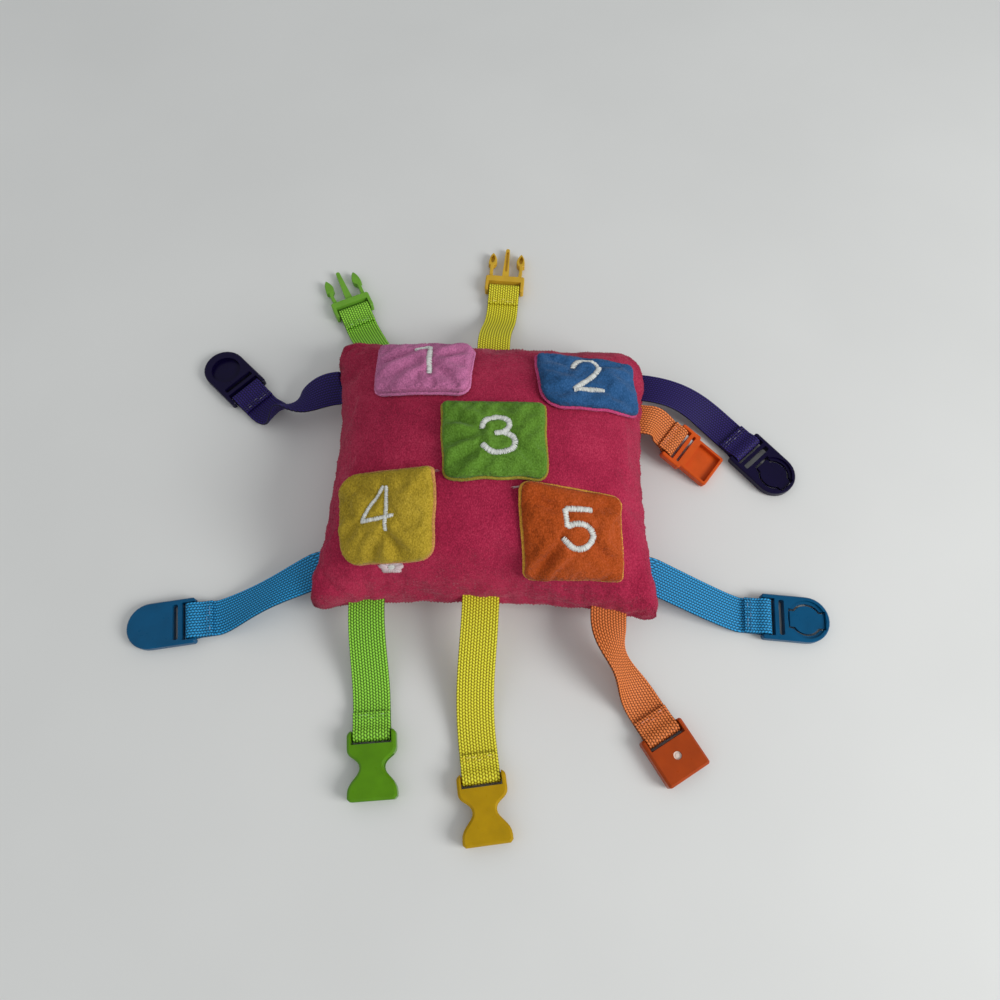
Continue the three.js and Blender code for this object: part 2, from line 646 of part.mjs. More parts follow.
function buttonPlate() {
  const recessed = drum(BUCKLE_HALF - PLATE_RIM, DISC_CENTRE, DISC_TOP, PLATE_THICK, DISC_SIDES);
  const under = drum(BUCKLE_HALF - PLATE_RIM, DISC_CENTRE, -PLATE_THICK, DISC_LOW, DISC_SIDES);
  const gap = discForm(DISC_SLIT, -PLATE_THICK, PLATE_THICK, MOULD_GAP);
  return cut(roundPlate(), recessed, under, gap);
}

function cupPlate(over) {
  const low = PLATE_THICK / 2 - DISH_DEPTH;
  const dish = drum(DISC_RADIUS + DISH_FIT, DISC_CENTRE - DISH_SHIFT, low, PLATE_THICK, DISC_SIDES);
  const plate = cut(roundPlate(), dish);
  return over ? plate.rotate([180, 0, 0]) : plate;
}

// The tray that slides into the box: a strap frame with shoulders, then a narrower open tray with a rim
function tray() {
  const half = TRAY_THICK / 2;
  const outer = slab(-RAIL_BACK, TRAY_SHOULDER, BUCKLE_HALF, BUCKLE_CORNER);
  const frame = raised(outer, -half, half, EDGE, CORNER_STEPS);
  const outline = slab(TRAY_SHOULDER - TRAY_LAP, TRAY_TIP, TRAY_HALF, BUCKLE_CORNER);
  const pan = raised(outline, -half, half, EDGE, CORNER_STEPS);
  const inside = slab(TRAY_SHOULDER + TRAY_RIM, TRAY_TIP - TRAY_RIM, TRAY_HALF - TRAY_RIM, BUCKLE_CORNER / 2);
  const well = raised(inside, TRAY_FLOOR - half, TRAY_THICK, 0, CORNER_STEPS);
  return withStrapSlot(cut(joined(frame, pan), well, openSlot(TRAY_SLIT)), TRAY_THICK);
}

function boxBuckle() {
  const half = BOX_THICK / 2;
  const high = BOX_HEIGHT / 2;
  const outline = slab(-RAIL_BACK, BOX_MOUTH, BUCKLE_HALF, BUCKLE_CORNER);
  const shell = raised(outline, -half, half, SOCKET_EDGE, CORNER_STEPS);
  const inside = TRAY_HALF + BOX_FIT;
  const hollow = block(BOX_MOUTH - TRAY_LENGTH - BOX_FIT, BOX_MOUTH + 1, -inside, inside, -high, high);
  const hole = drum(BOX_HOLE / 2, BOX_HOLE_PLACE, -BOX_THICK, BOX_THICK, 2 * ROUND_STEPS);
  return withStrapSlot(cut(shell, hollow, hole), BOX_THICK);
}

const BUCKLES = {
  plug: { name: "plug", make: plug, thick: PLUG_THICK, tip: PLUG_TIP, tipThick: 2 * PRONG_HALF },
  socket: { name: "socket", make: socket, thick: SOCKET_THICK, tip: SOCKET_MOUTH },
  cup: { name: "cup_plate", make: cupPlate, thick: PLATE_THICK, tip: PLATE_TIP },
  button: { name: "button_plate", make: buttonPlate, thick: PLATE_THICK, tip: PLATE_TIP },
  tray: { name: "tray", make: tray, thick: TRAY_THICK, tip: TRAY_TIP },
  box: { name: "box", make: boxBuckle, thick: BOX_THICK, tip: BOX_MOUTH },
};

// The bar lies as low as the webbing under it, or the buckle's own thickness, lets it
function barHeight(strap) {
  const { thick } = BUCKLES[strap.buckle];
  return Math.max(thick / 2, LOOP_OUTER + REST_GAP) + (strap.lift ?? 0);
}

// A buckle tips forward until its far end meets the table
function buckleDip(strap) {
  const { tip, thick, tipThick = thick } = BUCKLES[strap.buckle];
  return Math.asin(Math.max(0, barHeight(strap) - tipThick / 2 - TIP_GAP) / tip);
}

// The assembly, and the line each moving piece turns about
const pillow = new THREE.Group();
const hinges = {};

function addMesh(parent, name, geometry, colour, roughness) {
  const material = new THREE.MeshStandardMaterial({ color: colour, roughness, metalness: 0 });
  const mesh = new THREE.Mesh(geometry, material);
  mesh.name = name;
  parent.add(mesh);
}

const CLOTH_ROUGH = 0.95;
const WEBBING_ROUGH = 0.7;
const PLASTIC_ROUGH = 0.35;

addMesh(pillow, "pillow_front_panel", frontPanel(), PLUSH, CLOTH_ROUGH);
addMesh(pillow, "pillow_back_panel", backPanel(), PLUSH, CLOTH_ROUGH);
addMesh(pillow, "stuffing", stuffing(), FILL, CLOTH_ROUGH);

for (const flap of FLAPS) {
  const { surface, hinge, axis } = flapSurface(flap);
  const face = flapLayer(flap, surface, LAYER_GAP / 2, LAYER_GAP / 2 + FACE_CLOTH, LINING_EDGE);
  const lining = flapLayer(flap, surface, -LAYER_GAP / 2 - LINING_CLOTH, -LAYER_GAP / 2, 0);
  addMesh(pillow, `flap_${flap.digit}_face`, face, flap.colour, CLOTH_ROUGH);
  addMesh(pillow, `flap_${flap.digit}_lining`, lining, PLUSH, CLOTH_ROUGH);
  hinges[`flap_${flap.digit}`] = { at: hinge, axis };
}

for (const strap of STRAPS) {
  const { webbing, plastic } = COLOURS[strap.colour];
  const { make, name } = BUCKLES[strap.buckle];
  const laid = strapRun(strap);
  const strapName = `${strap.colour}_${strap.side}_strap`;
  addMesh(pillow, strapName, strapSolid(laid), webbing, WEBBING_ROUGH);
  const lift = laid.seam.edge.clone();
  if (lift.clone().cross(laid.seam.out).z < 0) lift.negate();
  hinges[strapName] = { at: laid.start, axis: lift };

  const buckle = new THREE.Group();
  buckle.position.copy(laid.bar);
  buckle.rotation.set(0, buckleDip(strap), radians(strap.heading), "ZYX");
  buckle.updateMatrixWorld(true);
  pillow.add(buckle);
  const turnsAt = (part, at, axis) => {
    const line = axis.transformDirection(buckle.matrixWorld);
    hinges[part] = { at: at.applyMatrix4(buckle.matrixWorld), axis: line };
  };
  const buckleName = `${strap.colour}_${name}`;
  addMesh(buckle, buckleName, geometryOf(make(strap.over)), plastic, PLASTIC_ROUGH);
  turnsAt(buckleName, vec(0, 0), vec(0, -1));
  if (strap.buckle === "plug")
    for (const [word, side] of [["left", 1], ["right", -1]]) {
      const armName = `${buckleName}_${word}_arm`;
      addMesh(buckle, armName, geometryOf(plugArm(side, strap.over)), plastic, PLASTIC_ROUGH);
      turnsAt(armName, vec(ARM_ROOT.x, side * ARM_ROOT.y), vec(0, 0, -side));
    }
  if (strap.buckle === "button") {
    const discName = `${strap.colour}_press_disc`;
    addMesh(buckle, discName, geometryOf(discForm(0, DISC_LOW, DISC_TOP, 0)), plastic, PLASTIC_ROUGH);
    turnsAt(discName, vec(TONGUE_END, 0, (DISC_LOW + DISC_TOP) / 2), vec(0, -1));
  }
}

pillow.userData = { hinges };

export default pillow;
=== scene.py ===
import json
import math

import bmesh
import bpy
import numpy as np
from mathutils import Matrix, Vector
from mathutils.bvhtree import BVHTree

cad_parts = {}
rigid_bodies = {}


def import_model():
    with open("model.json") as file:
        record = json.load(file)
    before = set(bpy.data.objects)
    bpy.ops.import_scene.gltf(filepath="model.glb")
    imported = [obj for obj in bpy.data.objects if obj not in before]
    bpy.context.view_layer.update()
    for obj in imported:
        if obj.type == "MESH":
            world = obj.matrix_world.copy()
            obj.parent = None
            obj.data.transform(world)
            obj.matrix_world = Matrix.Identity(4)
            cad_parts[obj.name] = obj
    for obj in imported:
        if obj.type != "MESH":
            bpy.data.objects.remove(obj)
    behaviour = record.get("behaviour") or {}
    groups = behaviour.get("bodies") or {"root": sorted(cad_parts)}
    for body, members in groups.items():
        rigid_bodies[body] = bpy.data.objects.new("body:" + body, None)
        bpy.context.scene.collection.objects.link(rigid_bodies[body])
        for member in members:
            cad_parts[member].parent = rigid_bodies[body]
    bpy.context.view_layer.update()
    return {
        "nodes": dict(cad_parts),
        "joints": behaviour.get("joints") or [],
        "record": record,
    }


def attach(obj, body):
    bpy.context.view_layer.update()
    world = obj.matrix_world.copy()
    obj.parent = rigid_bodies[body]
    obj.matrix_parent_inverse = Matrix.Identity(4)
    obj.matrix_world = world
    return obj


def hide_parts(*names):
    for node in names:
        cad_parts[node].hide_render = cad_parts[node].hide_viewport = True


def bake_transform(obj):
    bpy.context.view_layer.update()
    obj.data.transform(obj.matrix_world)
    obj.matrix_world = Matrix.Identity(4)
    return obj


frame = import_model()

bl_info = {
    "name": "Buckle Pillow",
    "version": (1, 0, 0),
    "blender": (4, 5, 0),
    "location": "View3D > Sidebar > Buckle Pillow",
    "description": "A plush pillow with numbered flaps and straps that carry five pairs of buckles",
    "category": "Object",
}

MM = 0.001
HINGES = {joint["name"]: joint for joint in frame["joints"]}

# The pillow's form in millimetres, as its panels are cut
HALF_WIDTH = 97.5
HALF_DEPTH = 84.5
SEAM_HEIGHT = 24.0
CORNER_DROP = 10.0
EAR_PUFF = 16.0
EAR_REACH = 9.0
CROWN = 47.0
LEAN = 0.2
SIDE_PULL = 10.0
END_PULL = 7.0
REST_SHARE = 0.66
REST_CURVE = 1.5
BACK_SWELL = 3.0

# Each corner, as left or right and lower or upper: its rounding, and how far its stuffed ear stands out
CORNERS = {(-1, 1): (20.0, 3.0), (1, 1): (30.0, 0.5), (-1, -1): (18.0, 3.0), (1, -1): (15.0, 2.5)}

# The body's cloth: the puckers along its seam, how far it starts inside its panels, how far it swells, and
# how low it comes
PUCKER_FADE = 9.0
PUCKER_WAVES = (9, 24)
EDGE_SHIFT = 40
SLACK = 1.4
BODY_GROWTH = 0.02
BODY_REACH = 4.0
DEEPEST = -3.0
FRONT_MOST = -0.35
BACK_MOST = 1.0
CLOTH_CLEAR = 0.25
PILE_CLEAR = 0.05

# Stuffing, as the pressure in the cloth and the frames in which it swells
PRESSURE = 4.0
FRAMES = 20

# Plush: the way its nap lies, and the shares of its height by which it is uneven, stands, leans and sways
BODY_NAP = (0.1, -0.9, -0.3)
FLAP_NAP = (0.05, -0.9, -0.3)
PILE_UNEVEN = (-0.22, 0.12)
TUFT_HEIGHTS = (0.25, 1.0)
TUFT_LEAN = 0.8
TUFT_SWAY = 0.25

# The flaps over the pillow, and how their sewn edge settles, reaches down and bends
FLAP_LIFT = 2.15
FLAP_HEM = 10.0
SEWN_REACH = 2.6
SEWN_BEND = 7.0

# How scissors and sewing leave a flap's cut
CUT_FREE = 12
CUT_SIDE = 0.25
CUT_END = 0.3
CUT_WAVES = (13, 34)
LEAST_ROUND = 0.6

# A flap's padded face: its grid, its round edge, its padding, and what presses into it
FACE_STEP = 1.4
FACE_TRIM = 0.9
FACE_FOOT = 0.12
FACE_BASE = 0.15
FACE_RIM = 0.4
FACE_WALL = 1.7
FACE_ROUND = 3.4
PUFF_REACH = 9
LEAST_FACE = 0.35
STROKE_PRESS = 1.2
STROKE_SPREAD = 2.4
CREASE_DEPTH = 2.6
CREASE_SPREAD = 2.7
SHOULDER_RISE = 1.1
SHOULDER_AWAY = 5.6
SHOULDER_SPREAD = 2.8
FACE_GROWTH = 0.05
FACE_REACH = 1.6

# Waves in a face: height, share across and down, seed, shortest and longest wave, and fade at the cut edge
FACE_WAVES = ((0.24, 0.8, 0.6, 20, 7, 17, 4), (0.3, 0.5, -0.9, 40, 11, 26, 3))

# How firmly the cut edge, the sewn edge, the numeral's stitches and the creases hold a face while it swells
HOLDS = (0.6, 1.0, 0.9, 0.85)

# A flap's lining: its grid, its layer, and its turned rim
LINING_STEP = 2.0
LINING_TRIM = -0.4
LINING_TOP = -0.15
LINING_THICK = 1.4
LINING_EDGE = 0.2
LINING_ROUND = 1.4
LINING_RIM = 1.8
LINING_PILE = 0.35

# Embroidery: how far thread lies over the cloth, the numerals' stitches, and the rosette's place in plan
THREAD_LIFT = 0.12
NUMERAL_THREAD = 0.48
NUMERAL_ARCH = 0.5
STROKE_SHARES = {4: 0.72}
BLUNT_START = 0.5
BLUNT_END = 1.5
SHORTEST_STITCH = 0.35
ROSETTE = np.array([-48.0, -69.0])

# The thread ends beside a flap's sewn edge, each from place to place in plan
THREAD_ENDS = {
    4: (((-27.6, -23.9), (-23.4, -23.2)), ((-27.4, -23.3), (-24.6, -22.9)), ((-26.9, -24.4), (-23.9, -23.6))),
    5: (((12.8, -31.4), (18.0, -30.5)), ((13.6, -31.9), (17.6, -31.0))),
}

# Webbing: its width, half its thickness between yarns and the share of it at the border, its way round a
# buckle's bar, how far it runs inside the seam, and how much of it bends when it lifts
WEBBING = 20.0
WEB_HALF = 0.48
BORDER = 0.7
BORDER_SHARE = 0.45
LOOP_MID = 2.45
LAYER_MID = 0.9
FOLD = 12.0
FOLD_NECK = 7.0
FOLD_LEAD = 2.0
ROLL_RAISE = 0.4
SEAM_TAKE = 3.0

# The stitching across a strap's folded end: its rows, from the end, and its stitches
TACK_ROWS = (1.6, 3.2)
TACK_REACH = 8.4
TACK_COUNT = 7
TACK_LENGTH = 2.3
TACK_RISE = 0.86
TACK_THREAD = 0.5
TACK_ARCH = 0.22

# Mouldings: how near two points are to be one, and the turns in degrees up to which faces are flat, from
# which an edge is rounded, and up to which it is shaded smooth
WELD = 0.02
FLAT_TURN = 1.5
EDGE_TURN = 28
SMOOTH_TURN = 32

# The stud in the box's window: its sides, height and middle, each step inwards with its rise, and its edge
STUD_SIDES = 28
STUD_HEIGHT = 3.5
STUD_MIDDLE = 1.9
STUD_STEPS = ((0.6, -0.5), (0.4, 0.3))
STUD_EDGE = 0.15

# The stage in metres: the floor, the colour of the light all round, each light's place, size and share of the
# key's power, and the camera's place with its dip, turn and tilt in degrees
FLOOR_SIZE = 6.0
FLOOR_DROP = 0.0004
SKY = (0.95, 0.97, 1.0, 1)
LIGHTS = {
    "key_light": ((1.15, -0.5, 0.85), 0.7, 1.0),
    "fill_light": ((-1.0, -0.3, 1.0), 1.2, 0.1),
}
CAMERA_PLACE = (0.0097, -0.1888, 0.4421)
CAMERA_TURNS = (68.01, -0.90, 0.96)
SENSOR = 36.0
NEAREST = 0.01


def srgb(red, green, blue):
    """A colour written as it shows, from 0 to 255, turned into linear light."""
    shares = [value / 255 for value in (red, green, blue)]
    return tuple(s / 12.92 if s <= 0.04045 else ((s + 0.055) / 1.055) ** 2.4 for s in shares)


# Each flap: the middle of its sewn edge, its turn, width and length, the colour of its turned rim (its own
# colour with a painted highlight where the pile at the fold catches the light), then its cut as four corners
# across and down from that middle (top left, top right, bottom right, bottom left), the rounding of each
# corner, and the creases that run out from its numeral, each with a depth
FLAPS = {
    1: {
        "place": (-37.0, 63.5, -4.0, 51.0, 45.0),
        "rim": (206, 122, 168),
        "corners": ((-29.0, 0.0), (28.0, 1.0), (28.5, 44.0), (-24.0, 43.5)),
        "rounds": (3.0, 8.0, 6.0, 7.0),
        "creases": (
            (-6, 14, -23, 22, 0.8), (-2, 24, -18, 36, 0.6),
            (8, 18, 24, 12, 0.7), (9, 28, 22, 38, 0.5),
        ),
    },
    2: {
        "place": (51.0, 56.5, 2.0, 51.0, 43.0),
        "rim": (202, 74, 124),
        "corners": ((-27.5, 1.5), (29.5, -1.0), (29.5, 36.5), (-25.0, 43.0)),
        "rounds": (3.0, 5.0, 5.0, 14.0),
        "creases": (
            (8, 8, 23, 3, 0.7), (-9, 30, -19, 34, 0.8),
            (10, 28, 23, 31, 0.7), (-9, 12, -22, 8, 0.5),
        ),
    },
    3: {
        "place": (1.5, 16.5, 2.0, 54.0, 45.0),
        "rim": (156, 142, 48),
        "corners": ((-26.8, 0.0), (28.0, 0.5), (28.0, 44.5), (-24.8, 45.0)),
        "rounds": (3.0, 4.0, 5.0, 5.0),
        "creases": (
            (-7, 18, -24, 9, 1.0), (-7, 23, -24, 25, 1.1),
            (-7, 29, -22, 40, 0.9), (12, 29, 24, 38, 0.5),
        ),
    },
    4: {
        "place": (-51.0, -25.0, 2.0, 50.0, 46.0),
        "rim": (204, 146, 84),
        "corners": ((-25.5, -4.0), (26.0, -1.5), (24.5, 45.0), (-24.5, 44.5)),
        "rounds": (12.0, 3.0, 8.0, 13.0),
        "creases": (
            (0, 30, -7, 41, 1.0), (3, 30, 9, 41, 1.1),
            (-4, 11, -19, 1, 0.7), (-12, 24, -22, 31, 0.7),
        ),
    },
    5: {
        "place": (43.5, -31.5, 2.0, 53.0, 47.0),
        "rim": (216, 160, 58),
        "corners": ((-28.0, -4.0), (25.0, -0.5), (27.5, 45.5), (-24.0, 45.5)),
        "rounds": (6.0, 5.0, 4.0, 4.0),
        "creases": (
            (-7, 25, -20, 43, 1.2), (-6, 11, -24, 3, 0.8),
            (9, 8, 22, 2, 0.7), (9, 26, 22, 35, 0.7),
        ),
    },
}

# Each numeral's strokes, across and down from the middle of its flap's sewn edge
NUMERALS = {
    1: (
        ((-4.8, 11.5), (-0.9, 9.3), (3.0, 7.5)),
        ((3.2, 8.4), (5.0, 21.5), (6.6, 32.6)),
    ),
    2: (
        (
            (-7.6, 14.2), (-6.2, 10.6), (-2.9, 7.4), (1.0, 5.8), (5.0, 6.3),
            (7.0, 9.5), (5.7, 14.5), (1.5, 20.8), (-3.0, 25.7), (-7.7, 30.4),
        ),
        ((-7.9, 30.8), (0.5, 29.4), (8.2, 28.0)),
    ),
    3: (
        (
            (-5.2, 19.1), (-4.2, 15.8), (-0.9, 13.5), (3.9, 12.7),
            (7.6, 14.5), (8.5, 17.7), (6.1, 20.9), (1.3, 22.1),
        ),
        ((5.4, 21.4), (9.8, 23.5), (11.2, 27.4), (9.2, 30.8), (4.3, 32.5), (-1.4, 31.6), (-5.1, 28.5)),
    ),
    4: (
        ((0.9, 6.6), (-4.9, 14.6), (-10.3, 22.7)),
        ((-10.3, 22.7), (-2.3, 22.1), (5.8, 21.2)),
        ((2.4, 6.7), (2.0, 17.8), (1.7, 28.1)),
    ),
    5: (
        ((8.1, 8.8), (1.6, 8.9), (-4.9, 9.3)),
        ((-4.9, 9.3), (-4.5, 13.4), (-4.0, 17.6)),
        (
            (-4.0, 17.6), (0.3, 16.0), (5.1, 16.4), (8.4, 19.4),
            (8.2, 23.8), (4.3, 27.2), (-0.9, 27.2), (-6.0, 23.0),
        ),
    ),
}

# Each strap: its buckle and the edge it is sewn into. Where it needs them it also has the ease of its bends,
# a straight way to its buckle, a roll in degrees with its place along the strap and how short it is, a lean at
# the seam and a dip at the buckle in degrees, and the length of its fold.
STRAPS = {
    "green_top_strap": {"buckle": "green_plug", "side": (0, 1), "ease": 0.22, "straight": True},
    "green_bottom_strap": {"buckle": "green_socket", "side": (0, -1)},
    "yellow_top_strap": {"buckle": "yellow_plug", "side": (0, 1)},
    "yellow_bottom_strap": {"buckle": "yellow_socket", "side": (0, -1)},
    "orange_right_strap": {"buckle": "orange_tray", "side": (1, 0), "dip": 30.0, "fold": 7.5},
    "orange_bottom_strap": {"buckle": "orange_box", "side": (0, -1), "roll": -48.0},
    "purple_left_strap": {
        "buckle": "purple_cup_plate", "side": (-1, 0),
        "roll": 48.0, "roll_at": 0.62, "pinch": 7.0, "lean": -28.0,
    },
    "purple_right_strap": {"buckle": "purple_button_plate", "side": (1, 0)},
    "blue_left_strap": {
        "buckle": "blue_cup_plate", "side": (-1, 0), "roll": 20.0, "ease": 0.14, "straight": True,
    },
    "blue_right_strap": {"buckle": "blue_button_plate", "side": (1, 0), "ease": 0.1, "straight": True},
}

MOULDINGS = {
    "green": ("green_plug", "green_plug_left_arm", "green_plug_right_arm", "green_socket"),
    "yellow": ("yellow_plug", "yellow_plug_left_arm", "yellow_plug_right_arm", "yellow_socket"),
    "orange": ("orange_tray", "orange_box"),
    "purple": ("purple_cup_plate", "purple_button_plate", "purple_press_disc"),
    "blue": ("blue_cup_plate", "blue_button_plate", "blue_press_disc"),
}

# Kinds of moulding whose plastic is brighter or deeper than the rest of their colour, and how much paler. The
# plugs' brighter, paler plastic is painted light, a lit copy of their colour; the box's is only deeper
PLUG_LIGHT_AND_BOX_TONE = {"plug": (1.45, 0.03), "box": (0.62, 0.0)}


def length_value(name, description, millimetres):
    """A length that a user sets, written in millimetres."""
    return bpy.props.FloatProperty(
        name=name, description=description, default=millimetres * MM, min=0.0, precision=5, unit="LENGTH"
    )


def colour_value(name, description, red, green, blue):
    """A colour that a user sets, written as it shows."""
    return bpy.props.FloatVectorProperty(
        name=name,
        description=description,
        default=srgb(red, green, blue),
        size=3,
        min=0.0,
        max=1.0,
        subtype="COLOR",
    )


class PillowSettings(bpy.types.PropertyGroup):
    """What a user sets on the stuffed pillow."""

    plush: colour_value("Plush", "Colour of the pillow's plush", 168, 35, 70)
    pile: length_value("Pile", "How far the tufts of the plush stand up", 0.6)
    pucker: length_value("Pucker", "How deep the cloth puckers along the seam", 0.6)
    columns: bpy.props.IntProperty(name="Columns", description="Faces across each panel", default=84, min=20)
    rows: bpy.props.IntProperty(name="Rows", description="Faces up each panel", default=72, min=20)


class FlapSettings(bpy.types.PropertyGroup):
    """What a user sets on the five flaps."""

    colour_1: colour_value("Flap 1", "Plush of flap 1", 193, 112, 156)
    colour_2: colour_value("Flap 2", "Plush of flap 2", 41, 88, 136)
    colour_3: colour_value("Flap 3", "Plush of flap 3", 93, 136, 42)
    colour_4: colour_value("Flap 4", "Plush of flap 4", 176, 150, 42)
    colour_5: colour_value("Flap 5", "Plush of flap 5", 172, 74, 21)
    thread: colour_value("Thread", "Embroidery thread of the numerals", 230, 232, 226)
    puff: length_value("Puff", "How far the padding stands up", 2.3)
    pile: length_value("Pile", "How far the tufts of the plush stand up", 0.45)
    stroke: length_value("Stroke", "Width of a numeral's stroke", 3.2)
    pitch: length_value("Pitch", "Distance between two satin stitches", 0.36)


class WebbingSettings(bpy.types.PropertyGroup):
    """What a user sets on the straps."""

    green: colour_value("Green", "Green webbing", 132, 198, 46)
    yellow: colour_value("Yellow", "Yellow webbing", 244, 222, 16)
    orange: colour_value("Orange", "Orange webbing", 228, 116, 40)
    blue: colour_value("Blue", "Blue webbing", 12, 134, 188)
    purple: colour_value("Purple", "Purple webbing", 27, 11, 82)
    width: length_value("Width", "Width of the webbing", WEBBING)
    relief: length_value("Relief", "How far the yarns stand out of the weave", 0.36)
    ribs: bpy.props.IntProperty(
        name="Ribs", description="Columns of yarn across the webbing", default=13, min=2
    )
    pitch: length_value("Pitch", "Length of one yarn crossing", 1.65)


class BuckleSettings(bpy.types.PropertyGroup):
    """What a user sets on the moulded buckles."""

    green: colour_value("Green", "Green plastic", 86, 138, 14)
    yellow: colour_value("Yellow", "Yellow plastic", 176, 139, 6)
    orange: colour_value("Orange", "Orange plastic", 204, 82, 24)
    blue: colour_value("Blue", "Blue plastic", 1, 78, 118)
    purple: colour_value("Purple", "Purple plastic", 13, 5, 44)
    edge: length_value("Edge", "Rounding of the moulded edges", 0.28)
    stud: length_value("Stud", "Width of the stud in the box's window", 4.2)
    stud_reach: length_value("Stud reach", "From the bar to the middle of the stud", 12.6)
    stud_colour: colour_value("Stud colour", "Pale plastic of the stud", 232, 214, 202)


class StageSettings(bpy.types.PropertyGroup):
    """What a user sets on the floor, the light and the camera."""

    floor: colour_value("Floor", "Colour of the pale floor", 222, 223, 220)
    key: bpy.props.FloatProperty(
        name="Key", description="Power of the large soft light", default=14.0, unit="POWER"
    )
    ambient: bpy.props.FloatProperty(
        name="Ambient", description="Strength of the light all round", default=0.48
    )
    lens: bpy.props.FloatProperty(name="Lens", description="Focal length in millimetres", default=28.8)


# The pillow's surfaces. u and v run from -1 to 1 across it and up it.
def of_corner(u, v, which):
    """The value that the nearest corner gives."""
    left = np.where(v > 0, CORNERS[-1, 1][which], CORNERS[-1, -1][which])
    right = np.where(v > 0, CORNERS[1, 1][which], CORNERS[1, -1][which])
    return np.where(u > 0, right, left)


def rounded_corner(u, v):
    """Draws the square of u and v in to round corners."""
    radius = of_corner(u, v, 0)
    share_u, share_v = radius / HALF_WIDTH, radius / HALF_DEPTH
    p = np.clip((np.abs(u) - 1) / share_u + 1, 0, 1)
    q = np.clip((np.abs(v) - 1) / share_v + 1, 0, 1)
    drawn_u = u - np.sign(u) * share_u * p * (1 - np.sqrt(1 - q * q / 2))
    drawn_v = v - np.sign(v) * share_v * q * (1 - np.sqrt(1 - p * p / 2))
    return drawn_u, drawn_v


def ear_puff(u, v):
    """How much fuller a stuffed corner stands than the edge beside it."""
    side = HALF_WIDTH * (1 - np.abs(u))
    end = HALF_DEPTH * (1 - np.abs(v))
    away = side * end / np.sqrt(side**2 + end**2 + 1e-9)
    return EAR_PUFF * (u * v) ** 6 * np.sqrt(np.clip(away / EAR_REACH, 0, 1))


def plan_point(u, v):
    ear = of_corner(u, v, 1) * (u * v) ** 6
    u, v = rounded_corner(u, v)
    x = HALF_WIDTH * u * (1 - (SIDE_PULL * (1 - v * v) * u * u - ear) / HALF_WIDTH)
    y = HALF_DEPTH * v * (1 - (END_PULL * (1 - u * u) * v * v - ear) / HALF_DEPTH)
    return np.stack([x, y], -1)


def seam_height(u, v):
    return SEAM_HEIGHT - CORNER_DROP * u * u * v * v


def swell(u, v):
    return np.sqrt(np.maximum(0, (1 - u * u) * (1 - v * v)))


def front_point(u, v):
    z = seam_height(u, v) + CROWN * swell(u, v) * (1 - LEAN * v) + ear_puff(u, v)
    return np.concatenate([plan_point(u, v), z[..., None]], -1)


def back_point(u, v):
    settled = 1 - (1 - np.minimum(1, swell(u, v) / REST_SHARE)) ** REST_CURVE
    bulge = 1 + 4 * BACK_SWELL * settled * (1 - settled) / HALF_DEPTH
    z = np.maximum(0, seam_height(u, v) * (1 - settled) - 0.5 * ear_puff(u, v))
    return np.concatenate([plan_point(u, v) * bulge[..., None], z[..., None]], -1)


def front_at(x, y):
    """The front panel's points and outward normals over places in plan."""
    u = x / HALF_WIDTH
    v = y / HALF_DEPTH
    for _ in range(20):
        here = plan_point(u, v)
        u = np.clip(u + (x - here[..., 0]) / HALF_WIDTH, -0.999, 0.999)
        v = np.clip(v + (y - here[..., 1]) / HALF_DEPTH, -0.999, 0.999)
    step = 1e-4
    point = front_point(u, v)
    normal = np.cross(front_point(u + step, v) - point, front_point(u, v + step) - point)
    return point, unit(normal)


def foot_of(points):
    """The places of the front panel right under points over it."""
    foot, up = front_at(points[..., 0], points[..., 1])
    away = ((points - foot) * up).sum(-1)
    return front_at(points[..., 0] - up[..., 0] * away, points[..., 1] - up[..., 1] * away)[0]


def unit(vectors):
    return vectors / np.maximum(np.linalg.norm(vectors, axis=-1, keepdims=True), 1e-12)


def smooth_step(share):
    share = np.clip(share, 0, 1)
    return share * share * (3 - 2 * share)


def round_edge(away, radius):
    """The share of its full height that a round edge has at a distance from it."""
    return np.sqrt(1 - (1 - np.clip(away / radius, 0, 1)) ** 2)


def flap_surface(place):
    """The middle of a flap's two layers, from places across and down the cloth."""
    x, y, turn, width, length = place
    angle = math.radians(turn)
    right = (math.cos(angle), math.sin(angle))
    down_plan = (math.sin(angle), -math.cos(angle))

    def over(side, reach):
        side, reach = np.broadcast_arrays(np.asarray(side, float), np.asarray(reach, float))
        point, normal = front_at(
            x + right[0] * side + down_plan[0] * reach, y + right[1] * side + down_plan[1] * reach
        )
        return point + normal * FLAP_LIFT

    step = 0.5
    reaches = [0.0]
    while len(reaches) * step <= length + 2 * step:
        before = reaches[-1]
        rise = (over(0, before + step)[2] - over(0, before)[2]) / step
        reaches.append(before + step / math.hypot(1, rise))
    half = width / 2
    left = over(-half, 0)
    line = over(half, 0) - left
    normal = front_at(np.float64(x), np.float64(y))[1]

    def edge(side):
        return left + line * ((np.asarray(side, float)[..., None] + half) / width)

    tries = np.linspace(-half, half, 17)
    raised = max(0.0, float(((over(tries, 0) - edge(tries)) @ normal).max()))

    def surface(side, down):
        side, down = np.broadcast_arrays(np.asarray(side, float), np.asarray(down, float))
        reach = np.where(down < 0, down, np.interp(down, np.arange(len(reaches)) * step, reaches))
        held = over(side, 0) - edge(side) - normal * raised
        settle = 1 - smooth_step(np.abs(down) / FLAP_HEM)
        return over(side, reach) - held * settle[..., None]

    return surface


def surface_normal(surface, side, down):
    step = 0.5
    across = surface(side + step, down) - surface(side - step, down)
    along = surface(side, down + step) - surface(side, down - step)
    return unit(np.cross(along, across))


# Meshes
def mesh_object(name, points, faces):
    """A mesh object from points in millimetres."""
    mesh = bpy.data.meshes.new(name)
    mesh.from_pydata((np.asarray(points) * MM).tolist(), [], [list(face) for face in faces])
    mesh.validate()
    mesh.update()
    piece = bpy.data.objects.new(name, mesh)
    bpy.context.scene.collection.objects.link(piece)
    return piece


